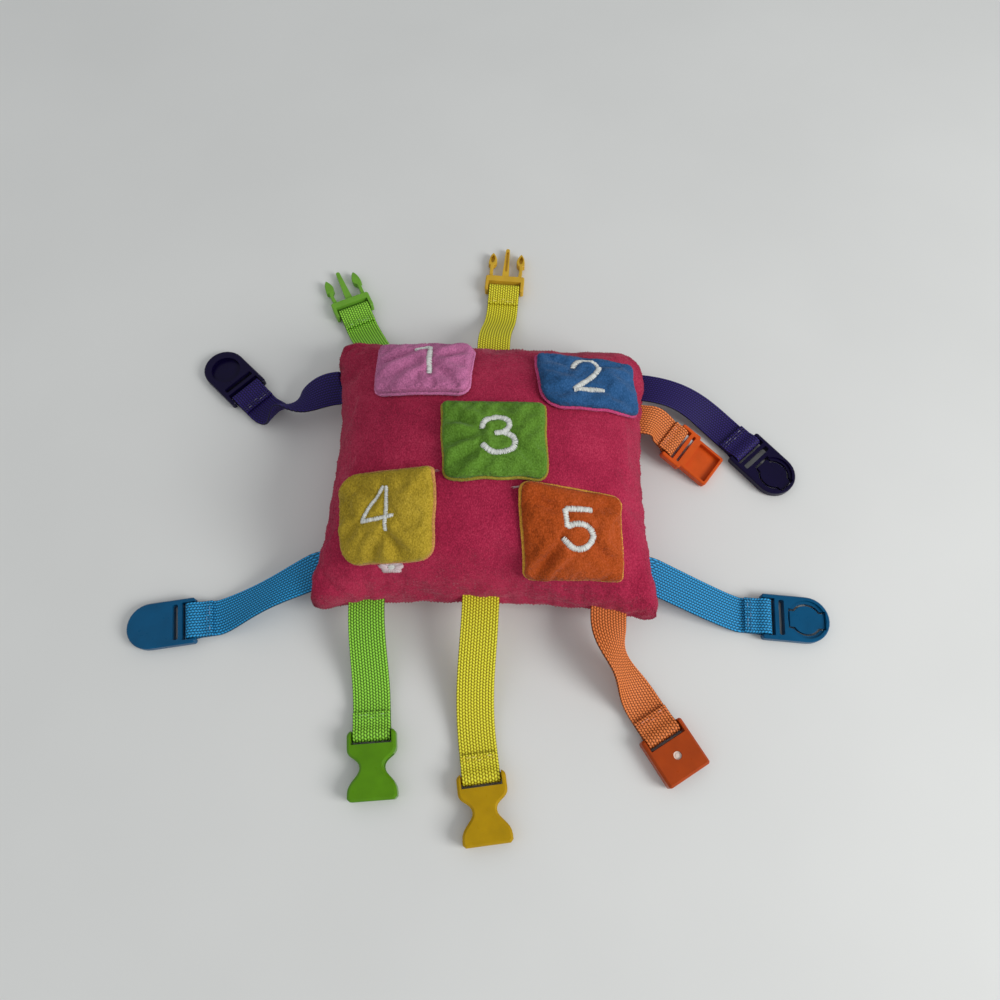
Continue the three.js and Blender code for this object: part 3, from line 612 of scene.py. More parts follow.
def pick(piece):
    """Makes a piece the only selected one, and the active one."""
    bpy.ops.object.select_all(action="DESELECT")
    piece.select_set(True)
    bpy.context.view_layer.objects.active = piece


def quads_of(index):
    return np.stack([index[:-1, :-1], index[:-1, 1:], index[1:, 1:], index[1:, :-1]], -1).reshape(-1, 4)


def rim_of(index):
    return np.concatenate([index[0, :-1], index[:-1, -1], index[-1, :0:-1], index[:0:-1, 0]])


def closed_pad(name, upper, lower):
    """A closed piece between two faces that share a grid of rows and columns."""
    rows, columns = upper.shape[:2]
    top = np.arange(rows * columns).reshape(rows, columns)
    low = top + rows * columns
    ring = rim_of(top)
    after = np.roll(ring, -1)
    sides = np.stack([ring, ring + rows * columns, after + rows * columns, after], -1)
    faces = np.concatenate([quads_of(top), quads_of(low)[:, ::-1], sides])
    points = np.concatenate([upper.reshape(-1, 3), lower.reshape(-1, 3)])
    return mesh_object(name, points, faces)


def vertex_values(piece, kind):
    flat = np.empty(len(piece.data.vertices) * 3)
    piece.data.vertices.foreach_get(kind, flat)
    return flat.reshape(-1, 3)


def points_of(piece):
    return vertex_values(piece, "co") / MM


def normals_of(piece):
    return vertex_values(piece, "normal")


def move_points(piece, points):
    piece.data.vertices.foreach_set("co", (np.asarray(points) * MM).ravel())
    piece.data.update()


def keep_above(points, height):
    """Raises the points that are lower than a height to it."""
    points[:, 2] = np.maximum(points[:, 2], height)
    return points


def smooth(piece):
    pick(piece)
    bpy.ops.object.shade_smooth()


def ripple(along, seed, shortest, longest):
    """Smooth uneven waves along a line, about 1 high."""
    chance = np.random.RandomState(seed)
    waves = np.zeros_like(np.asarray(along, float))
    for _ in range(7):
        length = chance.uniform(shortest, longest)
        waves += np.sin(2 * math.pi * along / length + chance.uniform(0, 2 * math.pi))
    return waves / 3


def apply_modifier(piece, kind, **settings):
    pick(piece)
    modifier = piece.modifiers.new(kind.title(), kind)
    for key, value in settings.items():
        setattr(modifier, key, value)
    bpy.ops.object.modifier_apply(modifier=modifier.name)


def inflate(piece, held, growth, reach):
    """Swells a padded piece as cloth round its stuffing. held pins points, growth is the share by which the
    cloth may grow, and reach caps how far a point moves."""
    before = points_of(piece)
    group = piece.vertex_groups.new(name="held")
    for index, weight in enumerate(held):
        if weight > 0:
            group.add([index], float(weight), "REPLACE")
    pick(piece)
    cloth = piece.modifiers.new("Cloth", "CLOTH")
    settings = cloth.settings
    settings.quality = 6
    settings.mass = 0.15
    settings.tension_stiffness = 12
    settings.compression_stiffness = 8
    settings.shear_stiffness = 4
    settings.bending_stiffness = 0.3
    settings.use_pressure = True
    settings.uniform_pressure_force = PRESSURE
    settings.shrink_min = -growth
    settings.vertex_group_mass = group.name
    settings.effector_weights.gravity = 0
    cloth.collision_settings.use_collision = False
    cloth.point_cache.frame_start = 1
    cloth.point_cache.frame_end = FRAMES
    for number in range(1, FRAMES + 1):
        bpy.context.scene.frame_set(number)
    bpy.ops.object.modifier_apply(modifier=cloth.name)
    bpy.context.scene.frame_set(1)
    piece.vertex_groups.clear()
    moved = points_of(piece) - before
    size = np.linalg.norm(moved, axis=1, keepdims=True)
    capped = moved * np.minimum(1, reach / np.maximum(size, 1e-9))
    move_points(piece, before + capped)


def raise_pile(piece, height, nap, seed):
    """Turns every face into a small tuft that leans with the nap."""
    mesh = piece.data
    count = len(mesh.polygons)
    corners = np.empty(count * 4, int)
    mesh.polygons.foreach_get("vertices", corners)
    corners = corners.reshape(-1, 4)
    points = points_of(piece)
    normals = normals_of(piece)
    chance = np.random.RandomState(seed)
    points += normals * (chance.uniform(*PILE_UNEVEN, len(points)) * height)[:, None]
    facing = unit(normals[corners].sum(1))
    leaning = nap - facing * (facing @ nap)[:, None]
    tall = chance.uniform(*TUFT_HEIGHTS, count)[:, None] * height
    sway = chance.normal(0, TUFT_SWAY, (count, 3)) * height
    tips = points[corners].mean(1) + facing * tall + leaning * tall * TUFT_LEAN + sway
    tip = np.arange(count) + len(points)
    after = np.roll(corners, -1, axis=1)
    faces = np.stack([corners, after, np.repeat(tip[:, None], 4, 1)], -1).reshape(-1, 3)
    finish = np.empty(count, np.int32)
    mesh.polygons.foreach_get("material_index", finish)
    fresh = mesh_object(piece.name + "_pile", np.concatenate([points, tips]), faces)
    fresh.data.polygons.foreach_set("material_index", finish.repeat(4))
    piece.data = fresh.data
    bpy.data.objects.remove(fresh)
    bpy.data.meshes.remove(mesh)
    piece.data.name = piece.name
    smooth(piece)


def tree_of(piece):
    made = bmesh.new()
    made.from_mesh(piece.data)
    tree = BVHTree.FromBMesh(made)
    made.free()
    return tree


# Materials
def new_material(name):
    material = bpy.data.materials.new(name)
    material.use_nodes = True
    nodes = material.node_tree.nodes
    return material, nodes, material.node_tree.links.new, nodes["Principled BSDF"]


def own_place(nodes):
    """Places in a piece's own frame, for its textures to follow."""
    return nodes.new("ShaderNodeTexCoord").outputs["Object"]


def noise(nodes, link, vector, scale, detail):
    texture = nodes.new("ShaderNodeTexNoise")
    texture.inputs["Scale"].default_value = scale
    texture.inputs["Detail"].default_value = detail
    link(vector, texture.inputs["Vector"])
    return texture.outputs[0]


def tones(nodes, link, value, stops):
    ramp = nodes.new("ShaderNodeValToRGB")
    while len(ramp.color_ramp.elements) < len(stops):
        ramp.color_ramp.elements.new(0.5)
    for element, (place, colour) in zip(ramp.color_ramp.elements, stops):
        element.position = place
        element.color = (*colour, 1)
    link(value, ramp.inputs[0])
    return ramp.outputs[0]


def bump(nodes, link, height, strength, distance, shader):
    node = nodes.new("ShaderNodeBump")
    node.inputs["Strength"].default_value = strength
    node.inputs["Distance"].default_value = distance
    link(height, node.inputs["Height"])
    link(node.outputs[0], shader.inputs["Normal"])


def shade(colour, share):
    return tuple(min(1.0, value * share) for value in colour)


def paler(colour, share):
    return tuple(value + (1 - value) * share for value in colour)


def plush_material(name, colour):
    """Short plush: a fine grain, streaks along the nap, brushed patches and a soft sheen."""
    material, nodes, link, shader = new_material(name)
    place = own_place(nodes)
    along = nodes.new("ShaderNodeMapping")
    along.inputs["Scale"].default_value = (1900, 950, 1450)
    link(place, along.inputs["Vector"])
    streaks = noise(nodes, link, along.outputs[0], 1.0, 3.0)
    patches = noise(nodes, link, place, 45.0, 2.0)
    brushed = nodes.new("ShaderNodeMix")
    brushed.inputs["Factor"].default_value = 0.3
    link(streaks, brushed.inputs["A"])
    link(patches, brushed.inputs["B"])
    stops = [(0.34, shade(colour, 0.62)), (0.5, colour), (0.66, paler(shade(colour, 1.3), 0.02))]
    link(tones(nodes, link, brushed.outputs["Result"], stops), shader.inputs["Base Color"])
    grain = noise(nodes, link, place, 1500.0, 2.0)
    bump(nodes, link, grain, 0.7, 0.0005, shader)
    shader.inputs["Roughness"].default_value = 0.92
    shader.inputs["Specular IOR Level"].default_value = 0.15
    shader.inputs["Sheen Weight"].default_value = 0.4
    shader.inputs["Sheen Roughness"].default_value = 0.4
    shader.inputs["Sheen Tint"].default_value = (*paler(colour, 0.3), 1)
    return material


def webbing_material(name, colour):
    """Woven polyester: painted shade in the gaps between the yarns and a painted highlight on their crowns,
    with a fine twist.
    """
    material, nodes, link, shader = new_material(name)
    height = nodes.new("ShaderNodeAttribute")
    height.attribute_name = "yarn_height"
    # Painted light: the crown colour is a painted highlight, lifted more on a dark yarn than on a bright one,
    # and the low stops are painted shade in the gaps
    bright = max(colour)
    crown = paler(shade(colour, 1.25 + 0.9 * (1 - bright)), 0.07 * bright)
    stops = [(0.0, shade(colour, 0.08)), (0.45, shade(colour, 0.5)), (1.0, crown)]
    link(tones(nodes, link, height.outputs["Fac"], stops), shader.inputs["Base Color"])
    place = own_place(nodes)
    fibres = noise(nodes, link, place, 2600.0, 2.0)
    bump(nodes, link, fibres, 0.35, 0.0002, shader)
    shader.inputs["Roughness"].default_value = 0.6
    shader.inputs["Specular IOR Level"].default_value = 0.25
    return material


def plastic_material(name, colour):
    """Moulded plastic: a faint cloudiness, a satin face that varies a little, and a fine moulded grain."""
    material, nodes, link, shader = new_material(name)
    place = own_place(nodes)
    cloud = noise(nodes, link, place, 110.0, 3.0)
    stops = [(0.3, shade(colour, 0.9)), (0.7, shade(colour, 1.08))]
    link(tones(nodes, link, cloud, stops), shader.inputs["Base Color"])
    wear = noise(nodes, link, place, 320.0, 4.0)
    rough = nodes.new("ShaderNodeMapRange")
    rough.inputs["To Min"].default_value = 0.22
    rough.inputs["To Max"].default_value = 0.38
    link(wear, rough.inputs["Value"])
    link(rough.outputs[0], shader.inputs["Roughness"])
    grain = noise(nodes, link, place, 2200.0, 1.0)
    bump(nodes, link, grain, 0.06, 0.0002, shader)
    shader.inputs["Specular IOR Level"].default_value = 0.16
    shader.inputs["Subsurface Weight"].default_value = 0.06
    shader.inputs["Subsurface Radius"].default_value = (0.002, 0.001, 0.0008)
    shader.inputs["Subsurface Scale"].default_value = 1.0
    return material


def thread_material(name, colour):
    """Silky embroidery thread, a little uneven from stitch to stitch."""
    material, nodes, link, shader = new_material(name)
    place = own_place(nodes)
    strand = nodes.new("ShaderNodeAttribute")
    strand.attribute_name = "strand_shade"
    stops = [(0.0, shade(colour, 0.72)), (0.5, shade(colour, 0.92)), (1.0, paler(colour, 0.2))]
    link(tones(nodes, link, strand.outputs["Fac"], stops), shader.inputs["Base Color"])
    twist = noise(nodes, link, place, 3000.0, 1.0)
    bump(nodes, link, twist, 0.2, 0.0002, shader)
    shader.inputs["Roughness"].default_value = 0.36
    shader.inputs["Sheen Weight"].default_value = 0.2
    return material


def floor_material(name, colour):
    """A pale table top with a faint unevenness."""
    material, nodes, link, shader = new_material(name)
    place = own_place(nodes)
    cloud = noise(nodes, link, place, 6.0, 3.0)
    stops = [(0.3, shade(colour, 0.97)), (0.7, shade(colour, 1.02))]
    link(tones(nodes, link, cloud, stops), shader.inputs["Base Color"])
    shader.inputs["Roughness"].default_value = 0.8
    return material


def dress(piece, *materials):
    while piece.data.materials:
        piece.data.materials.pop()
    for material in materials:
        piece.data.materials.append(material)


# Thread
def make_stitch():
    """One arched stitch along X, 1 long and 1 thick, modelled once and copied wherever thread shows."""
    bpy.ops.object.select_all(action="DESELECT")
    bpy.ops.mesh.primitive_cylinder_add(
        vertices=6, radius=0.5, depth=1.0, end_fill_type="NGON", rotation=(0, math.pi / 2, 0)
    )
    stitch = bpy.context.active_object
    bpy.ops.object.transform_apply(location=True, rotation=True, scale=True)
    bpy.ops.object.mode_set(mode="EDIT")
    for place in (-0.3, 0.0, 0.3):
        bpy.ops.mesh.select_all(action="SELECT")
        bpy.ops.mesh.bisect(plane_co=(place, 0, 0), plane_no=(1, 0, 0))
    bpy.ops.object.mode_set(mode="OBJECT")
    made = bmesh.new()
    made.from_mesh(stitch.data)
    points = np.array([vertex.co for vertex in made.verts])
    faces = [[vertex.index for vertex in face.verts] for face in made.faces]
    made.free()
    spare = stitch.data
    bpy.data.objects.remove(stitch)
    bpy.data.meshes.remove(spare)
    return points, faces


def sew(name, stitch, places, thick, arch):
    """Copies of the stitch. Each place is a middle, a direction, an upright and a length, in millimetres."""
    shape, faces = stitch
    points = []
    all_faces = []
    for middle, along, upright, length in places:
        across = np.cross(upright, along)
        bow = arch * (1 - (2 * shape[:, :1]) ** 2) - arch * 0.35
        narrow = 1 - 0.45 * np.abs(2 * shape[:, :1]) ** 3
        rise = shape[:, 2:3] * thick * narrow + bow
        all_faces += [[k + len(points) * len(shape) for k in face] for face in faces]
        points.append(
            middle + shape[:, :1] * length * along + shape[:, 1:2] * thick * narrow * across + rise * upright
        )
    piece = mesh_object(name, np.concatenate(points), all_faces)
    shades = np.random.RandomState(len(places)).uniform(0, 1, len(places)).repeat(len(shape))
    strand = piece.data.attributes.new("strand_shade", "FLOAT", "POINT")
    strand.data.foreach_set("value", shades.astype(np.float32))
    smooth(piece)
    return piece


def drop_on(tree, point, normal, reach=12.0):
    """The point of a surface under a place over it."""
    start = Vector((point + normal * reach) * MM)
    hit = tree.ray_cast(start, Vector(-normal), 3 * reach * MM)
    return point if hit[0] is None else np.array(hit[0]) / MM


def even_path(points, step):
    """Places at even steps along a smooth line through the points."""
    knots = np.asarray(points, float)
    ends = np.concatenate([[2 * knots[0] - knots[1]], knots, [2 * knots[-1] - knots[-2]]])
    line = []
    for k in range(len(knots) - 1):
        a, b, c, d = ends[k : k + 4]
        t = np.linspace(0, 1, 24, endpoint=False)[:, None]
        bend = 2 * b + (c - a) * t
        bend = bend + (2 * a - 5 * b + 4 * c - d) * t**2
        bend = bend + (3 * b - a - 3 * c + d) * t**3
        line.append(0.5 * bend)
    line = np.concatenate([*line, knots[-1:]])
    run = np.concatenate([[0], np.cumsum(np.linalg.norm(np.diff(line, axis=0), axis=1))])
    places = np.linspace(0, run[-1], max(2, int(run[-1] / step) + 1))
    return np.stack([np.interp(places, run, line[:, k]) for k in range(knots.shape[1])], -1)


def to_line(places, start, end):
    """Distance of places in plan to a straight line, and the share along it."""
    start, end = np.asarray(start, float), np.asarray(end, float)
    way = end - start
    share = np.clip(((places - start) @ way) / (way @ way), 0, 1)
    return np.linalg.norm(places - start - share[..., None] * way, axis=-1), share


def held_by_flap(piece, number):
    """Bakes the piece's transform into its points. The places of its flap's sewn edge and of its bend are
    worked out but not used.
    """
    surface = flap_surface(FLAPS[number]["place"])
    start = surface(0.0, 0.0) * MM
    end = surface(0.0, SEWN_BEND) * MM
    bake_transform(piece)


class PILLOW_OT_body(bpy.types.Operator):
    """Makes the stuffed plush body of the pillow"""

    bl_idname = "buckle_pillow.body"
    bl_label = "Pillow body"

    def execute(self, context):
        sizes = context.scene.pillow_settings
        across = np.sin((np.linspace(0, 1, sizes.columns + 1) - 0.5) * math.pi)
        upwards = np.sin((np.linspace(0, 1, sizes.rows + 1) - 0.5) * math.pi)
        u, v = np.meshgrid(across, upwards)
        front, back = front_point(u, v), back_point(u, v)
        rows, columns = u.shape
        top = np.arange(rows * columns).reshape(rows, columns)
        low = top.copy()
        inner = (rows - 2, columns - 2)
        low[1:-1, 1:-1] = rows * columns + np.arange(inner[0] * inner[1]).reshape(inner)
        points = np.concatenate([front.reshape(-1, 3), back[1:-1, 1:-1].reshape(-1, 3)])
        faces = np.concatenate([quads_of(top), quads_of(low)[:, ::-1]])
        body = mesh_object("pillow_body", points, faces)

        both_u = np.concatenate([u.ravel(), u[1:-1, 1:-1].ravel()])
        both_v = np.concatenate([v.ravel(), v[1:-1, 1:-1].ravel()])
        from_side = CROWN * np.sqrt(np.maximum(0, 1 - both_u**2))
        from_end = CROWN * np.sqrt(np.maximum(0, 1 - both_v**2))
        normals = normals_of(body)
        across_seam = ripple(points[:, 0] + EDGE_SHIFT * np.sign(both_v), 3, *PUCKER_WAVES)
        up_seam = ripple(points[:, 1] + EDGE_SHIFT * np.sign(both_u), 5, *PUCKER_WAVES)
        waves = np.exp(-from_end / PUCKER_FADE) * across_seam + np.exp(-from_side / PUCKER_FADE) * up_seam
        depth = sizes.pucker / MM * waves - SLACK
        move_points(body, keep_above(points + normals * depth[:, None], CLOTH_CLEAR))
        ring = np.zeros(len(points))
        ring[rim_of(top)] = 1
        inflate(body, ring, BODY_GROWTH, BODY_REACH)
        swelled = points_of(body)
        off = ((swelled - points) * normals).sum(1)
        most = np.where(np.arange(len(points)) < rows * columns, FRONT_MOST, BACK_MOST)
        swelled += normals * (np.clip(off, DEEPEST, most) - off)[:, None]
        move_points(body, keep_above(swelled, CLOTH_CLEAR))
        apply_modifier(body, "SUBSURF", levels=1, render_levels=1)
        raise_pile(body, sizes.pile / MM, BODY_NAP, 11)
        move_points(body, keep_above(points_of(body), PILE_CLEAR))
        dress(body, plush_material("raspberry_plush", sizes.plush))
        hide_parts("pillow_front_panel", "pillow_back_panel", "stuffing")
        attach(body, "pillow")
        return {"FINISHED"}


def flap_grid(flap, spacing, trim):
    """Places across and down a flap's cut, with the distance of each to the cut edge."""
    corners = np.asarray(flap["corners"], float)
    rounds = np.maximum(np.asarray(flap["rounds"], float) - trim, LEAST_ROUND)
    wide = np.linalg.norm(corners[1] - corners[0]) - 2 * trim
    long = np.linalg.norm(corners[3] - corners[0]) - 2 * trim
    upper, lower = rounds[:2].max(), rounds[2:].max()
    turns = np.linspace(0, math.pi / 2, 8)
    between = np.linspace(0, 1, max(2, int((long - upper - lower) / spacing)))[1:-1]
    straight = upper + (long - upper - lower) * between
    downs = np.concatenate([upper * (1 - np.cos(turns)), straight, long - lower * (1 - np.cos(turns[::-1]))])

    def inset(reach, radius):
        short = np.clip(radius - reach, 0, radius)
        return radius - np.sqrt(np.maximum(0, radius**2 - short**2))

    left = inset(downs, rounds[0]) + inset(long - downs, rounds[3])
    right = wide - (inset(downs, rounds[1]) + inset(long - downs, rounds[2]))
    shares = np.linspace(0, 1, int(wide / spacing) + 1)
    across = left[:, None] + (right - left)[:, None] * shares
    s = (across + trim) / (wide + 2 * trim)
    t = np.broadcast_to(((downs + trim) / (long + 2 * trim))[:, None], s.shape)
    a, b, c, d = (corner[:, None, None] for corner in corners)
    place = a * (1 - s) * (1 - t) + b * s * (1 - t) + c * s * t + d * (1 - s) * t
    edge = np.minimum(across - left[:, None], right[:, None] - across)
    edge = np.minimum(edge, np.minimum(downs, long - downs)[:, None])
    return place[0], place[1], edge


def hand_cut(number, side, down):
    """Places of a flap's cut, moved a little as scissors and sewing leave them."""
    free = np.clip(down / CUT_FREE, 0, 1)
    moved_side = side + CUT_SIDE * free * ripple(down, 200 + number, *CUT_WAVES)
    return moved_side, down + CUT_END * free * ripple(side, 210 + number, *CUT_WAVES)


def laid_cut(number, flap, spacing, trim):
    """A flap's cut on the pillow: places across and down it, the distance of each to the cut edge, and the
    points and normals there."""
    surface = flap_surface(flap["place"])
    side, down, edge = flap_grid(flap, spacing, trim)
    side, down = hand_cut(number, side, down)
    return side, down, edge, surface(side, down), surface_normal(surface, side, down)


class PILLOW_OT_flaps(bpy.types.Operator):
    """Makes the five padded flaps, each a coloured plush face on a pink lining with a turned rim"""

    bl_idname = "buckle_pillow.flaps"
    bl_label = "Flaps"

    def execute(self, context):
        sizes = context.scene.flap_settings
        pink = plush_material("lining_plush", shade(context.scene.pillow_settings.plush, 1.05))
        for number, flap in FLAPS.items():
            self.make_face(sizes, number, flap)
            self.make_lining(number, flap, pink)
        return {"FINISHED"}

    def pressed_by_numeral(self, number, places):
        """How far the numeral's stitches press each place in, from 0 to 1."""
        pressed = np.zeros(places.shape[:-1])
        for stroke in NUMERALS[number]:
            for begin, end in zip(stroke[:-1], stroke[1:]):
                away, _ = to_line(places, begin, end)
                pressed = np.maximum(pressed, np.exp(-((away / STROKE_SPREAD) ** 2)))
        return pressed

    def creases(self, flap, places):
        """What the creases add to the height of each place, and how deep in one it is."""
        added = np.zeros(places.shape[:-1])
        creased = np.zeros(places.shape[:-1])
        for x0, y0, x1, y1, depth in flap["creases"]:
            away, share = to_line(places, (x0, y0), (x1, y1))
            fading = depth * np.sin(math.pi * (0.12 + 0.8 * share))
            valley = fading * np.exp(-((away / CREASE_SPREAD) ** 2))
            shoulder = fading * np.exp(-(((away - SHOULDER_AWAY) / SHOULDER_SPREAD) ** 2))
            creased = np.maximum(creased, valley)
            added += SHOULDER_RISE * shoulder - CREASE_DEPTH * valley
        return added, creased

    def make_face(self, sizes, number, flap):
        side, down, edge, middle, normal = laid_cut(number, flap, FACE_STEP, FACE_TRIM)
        places = np.stack([side, down], -1)
        pressed = self.pressed_by_numeral(number, places)
        added, creased = self.creases(flap, places)
        puff = sizes.puff / MM * (1 - np.exp(-edge / PUFF_REACH))
        height = FACE_RIM + FACE_WALL * round_edge(edge, FACE_ROUND) + puff + added - STROKE_PRESS * pressed
        for tall, across, along, seed, shortest, longest, fade in FACE_WAVES:
            waves = ripple(side * across + down * along, seed + number, shortest, longest)
            height += tall * waves * np.clip(edge / fade, 0, 1)
        height = np.maximum(height, LEAST_FACE)
        upper = middle + normal * (FACE_BASE + height)[..., None]
        lower = middle + normal * FACE_FOOT
        face = closed_pad(f"flap_{number}_plush_face", upper[::-1], lower[::-1])
        top_held = np.select([edge < 0.4, down < 3, pressed > 0.75, creased > 0.4], HOLDS, 0.0)
        held = np.concatenate([top_held[::-1].ravel(), np.ones(side.size)])
        inflate(face, held, FACE_GROWTH, FACE_REACH)
        apply_modifier(face, "SUBSURF", levels=1, render_levels=1)
        raise_pile(face, sizes.pile / MM, FLAP_NAP, 30 + number)
        dress(face, plush_material(f"flap_{number}_plush", getattr(sizes, f"colour_{number}")))
        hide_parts(f"flap_{number}_face")
        held_by_flap(face, number)

    def make_lining(self, number, flap, pink):
        _, down, edge, middle, normal = laid_cut(number, flap, LINING_STEP, LINING_TRIM)
        mid = LINING_TOP - LINING_THICK / 2
        half = LINING_EDGE + (LINING_THICK / 2 - LINING_EDGE) * round_edge(edge, LINING_ROUND)
        upper = middle + normal * (mid + half)[..., None]
        lower = middle + normal * (mid - half)[..., None]
        sewn = (1 - smooth_step(down / SEWN_REACH))[..., None]
        lower += (foot_of(middle) - lower) * sewn
        lining = closed_pad(f"flap_{number}_pink_lining", upper[::-1], lower[::-1])
        rim = np.tile(edge[::-1].ravel() < LINING_RIM, 2)
        finish = [int(any(rim[list(face.vertices)])) for face in lining.data.polygons]
        lining.data.polygons.foreach_set("material_index", finish)
        apply_modifier(lining, "SUBSURF", levels=1, render_levels=1)
        raise_pile(lining, LINING_PILE, FLAP_NAP, 50 + number)
        # The rim plush carries the rim's own colour with a painted highlight where the pile at the fold
        # catches the light
        dress(lining, pink, plush_material(f"flap_{number}_rim_plush", srgb(*flap["rim"])))
        corners = np.asarray(flap["corners"])
        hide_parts(f"flap_{number}_lining")
        held_by_flap(lining, number)


class PILLOW_OT_numerals(bpy.types.Operator):
    """Embroiders the numerals 1 to 5 on the flaps in satin stitch"""

    bl_idname = "buckle_pillow.numerals"
    bl_label = "Numerals"

    def execute(self, context):
        sizes = context.scene.flap_settings
        stitch = make_stitch()
        silk = thread_material("numeral_thread", sizes.thread)
        for number, strokes in NUMERALS.items():
            surface = flap_surface(FLAPS[number]["place"])
            tree = tree_of(bpy.data.objects[f"flap_{number}_plush_face"])
            chance = np.random.RandomState(70 + number)
            wide = sizes.stroke / MM * STROKE_SHARES.get(number, 1.0)
            places = []
            for stroke in strokes:
                places += self.fill(stroke, surface, tree, chance, wide, sizes.pitch / MM)
            numeral = sew(f"numeral_{number}", stitch, places, NUMERAL_THREAD, NUMERAL_ARCH)
            dress(numeral, silk)
            held_by_flap(numeral, number)
        return {"FINISHED"}

    def fill(self, stroke, surface, tree, chance, wide, pitch):
        """Stitches side by side across a stroke, shorter at its blunt ends."""
        path = even_path(stroke, pitch)
        ways = unit(np.gradient(path, axis=0))
        count = np.arange(len(path))
        blunt = round_edge(np.minimum(count, count[::-1]) * pitch + BLUNT_START, BLUNT_END)
        places = []
        for (side, down), (way_side, way_down), share in zip(path, ways, blunt):
            length = wide * (SHORTEST_STITCH + (1 - SHORTEST_STITCH) * share) * chance.uniform(0.9, 1.08)
            lean = chance.normal(0, 0.1)
            cross = np.array([-way_down, way_side]) + lean * np.array([way_side, way_down])
            reach = cross * length / 2
            up = surface_normal(surface, np.float64(side), np.float64(down))
            ends = []
            for sign in (-1, 1):
                spot = surface(side + sign * reach[0], down + sign * reach[1])
                ends.append(drop_on(tree, spot, up))
            along = unit(ends[1] - ends[0])
            upright = unit(up - along * (up @ along))
            centre = drop_on(tree, surface(side, down), up)
            middle = (ends[0] + ends[1]) / 2
            lift = max(float((centre - middle) @ upright), 0.0)
            places.append((middle + upright * (THREAD_LIFT + lift), along, upright, length))
        return places


class PILLOW_OT_embroidery(bpy.types.Operator):
    """Embroiders the small rosette under flap 4 and the thread ends beside the flaps"""

    bl_idname = "buckle_pillow.embroidery"
    bl_label = "Rosette and thread ends"

    def execute(self, context):
        stitch = make_stitch()
        tree = tree_of(bpy.data.objects["pillow_body"])
        plush = context.scene.pillow_settings.plush
        white = thread_material("rosette_white_thread", context.scene.flap_settings.thread)
        rose = thread_material("rosette_pink_thread", paler(plush, 0.55))
        deep = thread_material("pillow_thread", paler(plush, 0.12))
        self.lay(stitch, tree, "rosette_petals", self.petals(), rose, 0.5)
        self.lay(stitch, tree, "rosette_heart", self.heart(), white, 0.55)
        self.lay(stitch, tree, "flap_4_thread_end", THREAD_ENDS[4], deep, 0.4)
        self.lay(stitch, tree, "flap_5_thread_end", THREAD_ENDS[5], rose, 0.4)
        return {"FINISHED"}

    def petals(self):
        """Lines that run out all round the rosette's heart, longer in five lobes."""
        chance = np.random.RandomState(91)
        lines = []
        for turn in np.arange(0, 2 * math.pi, 0.095):
            near, far = 1.5, 5.0 + 0.6 * math.sin(5 * turn) + chance.uniform(-0.35, 0.35)
            way = np.array([math.cos(turn) * 1.3, math.sin(turn) * 0.62])
            lines.append((ROSETTE + way * near, ROSETTE + way * far))
        return lines

    def heart(self):
        """Lines one above another that fill the rosette's heart."""
        lines = []
        for row in np.linspace(-1.5, 1.5, 9):
            span = math.sqrt(max(0.05, 2.6 - row * row))
            lines.append((ROSETTE + (-span * 1.4, row * 0.7), ROSETTE + (span * 1.4, row * 0.7)))
        return lines

    def lay(self, stitch, tree, name, lines, material, thick):
        places = []
        for begin, end in lines:
            spots = []
            for x, y in (begin, end):
                point, up = front_at(np.float64(x), np.float64(y))
                spots.append(drop_on(tree, point, up, 4.0))
            way = spots[1] - spots[0]
            along = unit(way)
            upright = unit(up - along * (up @ along))
            middle = (spots[0] + spots[1]) / 2 + upright * THREAD_LIFT
            places.append((middle, along, upright, float(np.linalg.norm(way))))
        piece = sew(name, stitch, places, thick, 0.3)
        dress(piece, material)
        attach(piece, "pillow")


def curve(a, b, c, d, t):
    """A smooth way from a to d that leaves towards b and comes in from c."""
    return a * (1 - t) ** 3 + 3 * b * t * (1 - t) ** 2 + 3 * c * t * t * (1 - t) + d * t**3


def folded_end(near, fold):
    """Places along the webbing under a bar, round it and back. near gives a place from its reach behind the
    bar and its rise."""
    s = np.linspace(0, 1, 16)
    neck_back = curve(FOLD_NECK, FOLD_NECK / 2, FOLD_NECK / 2, 0.0, s)
    neck_rise = curve(LAYER_MID, LAYER_MID, LOOP_MID, LOOP_MID, s)
    turn = np.linspace(-math.pi / 2, math.pi / 2, 26)[1:-1]
    return np.concatenate(
        [
            near(np.linspace(fold + FOLD_LEAD, FOLD_NECK, 8)[:-1], np.full(7, -LAYER_MID)),
            near(neck_back, -neck_rise),
            near(-LOOP_MID * np.cos(turn), LOOP_MID * np.sin(turn)),
            near(neck_back[::-1], neck_rise[::-1]),
            near(np.linspace(FOLD_NECK, fold, 8)[1:], np.full(7, LAYER_MID)),
        ]
    )


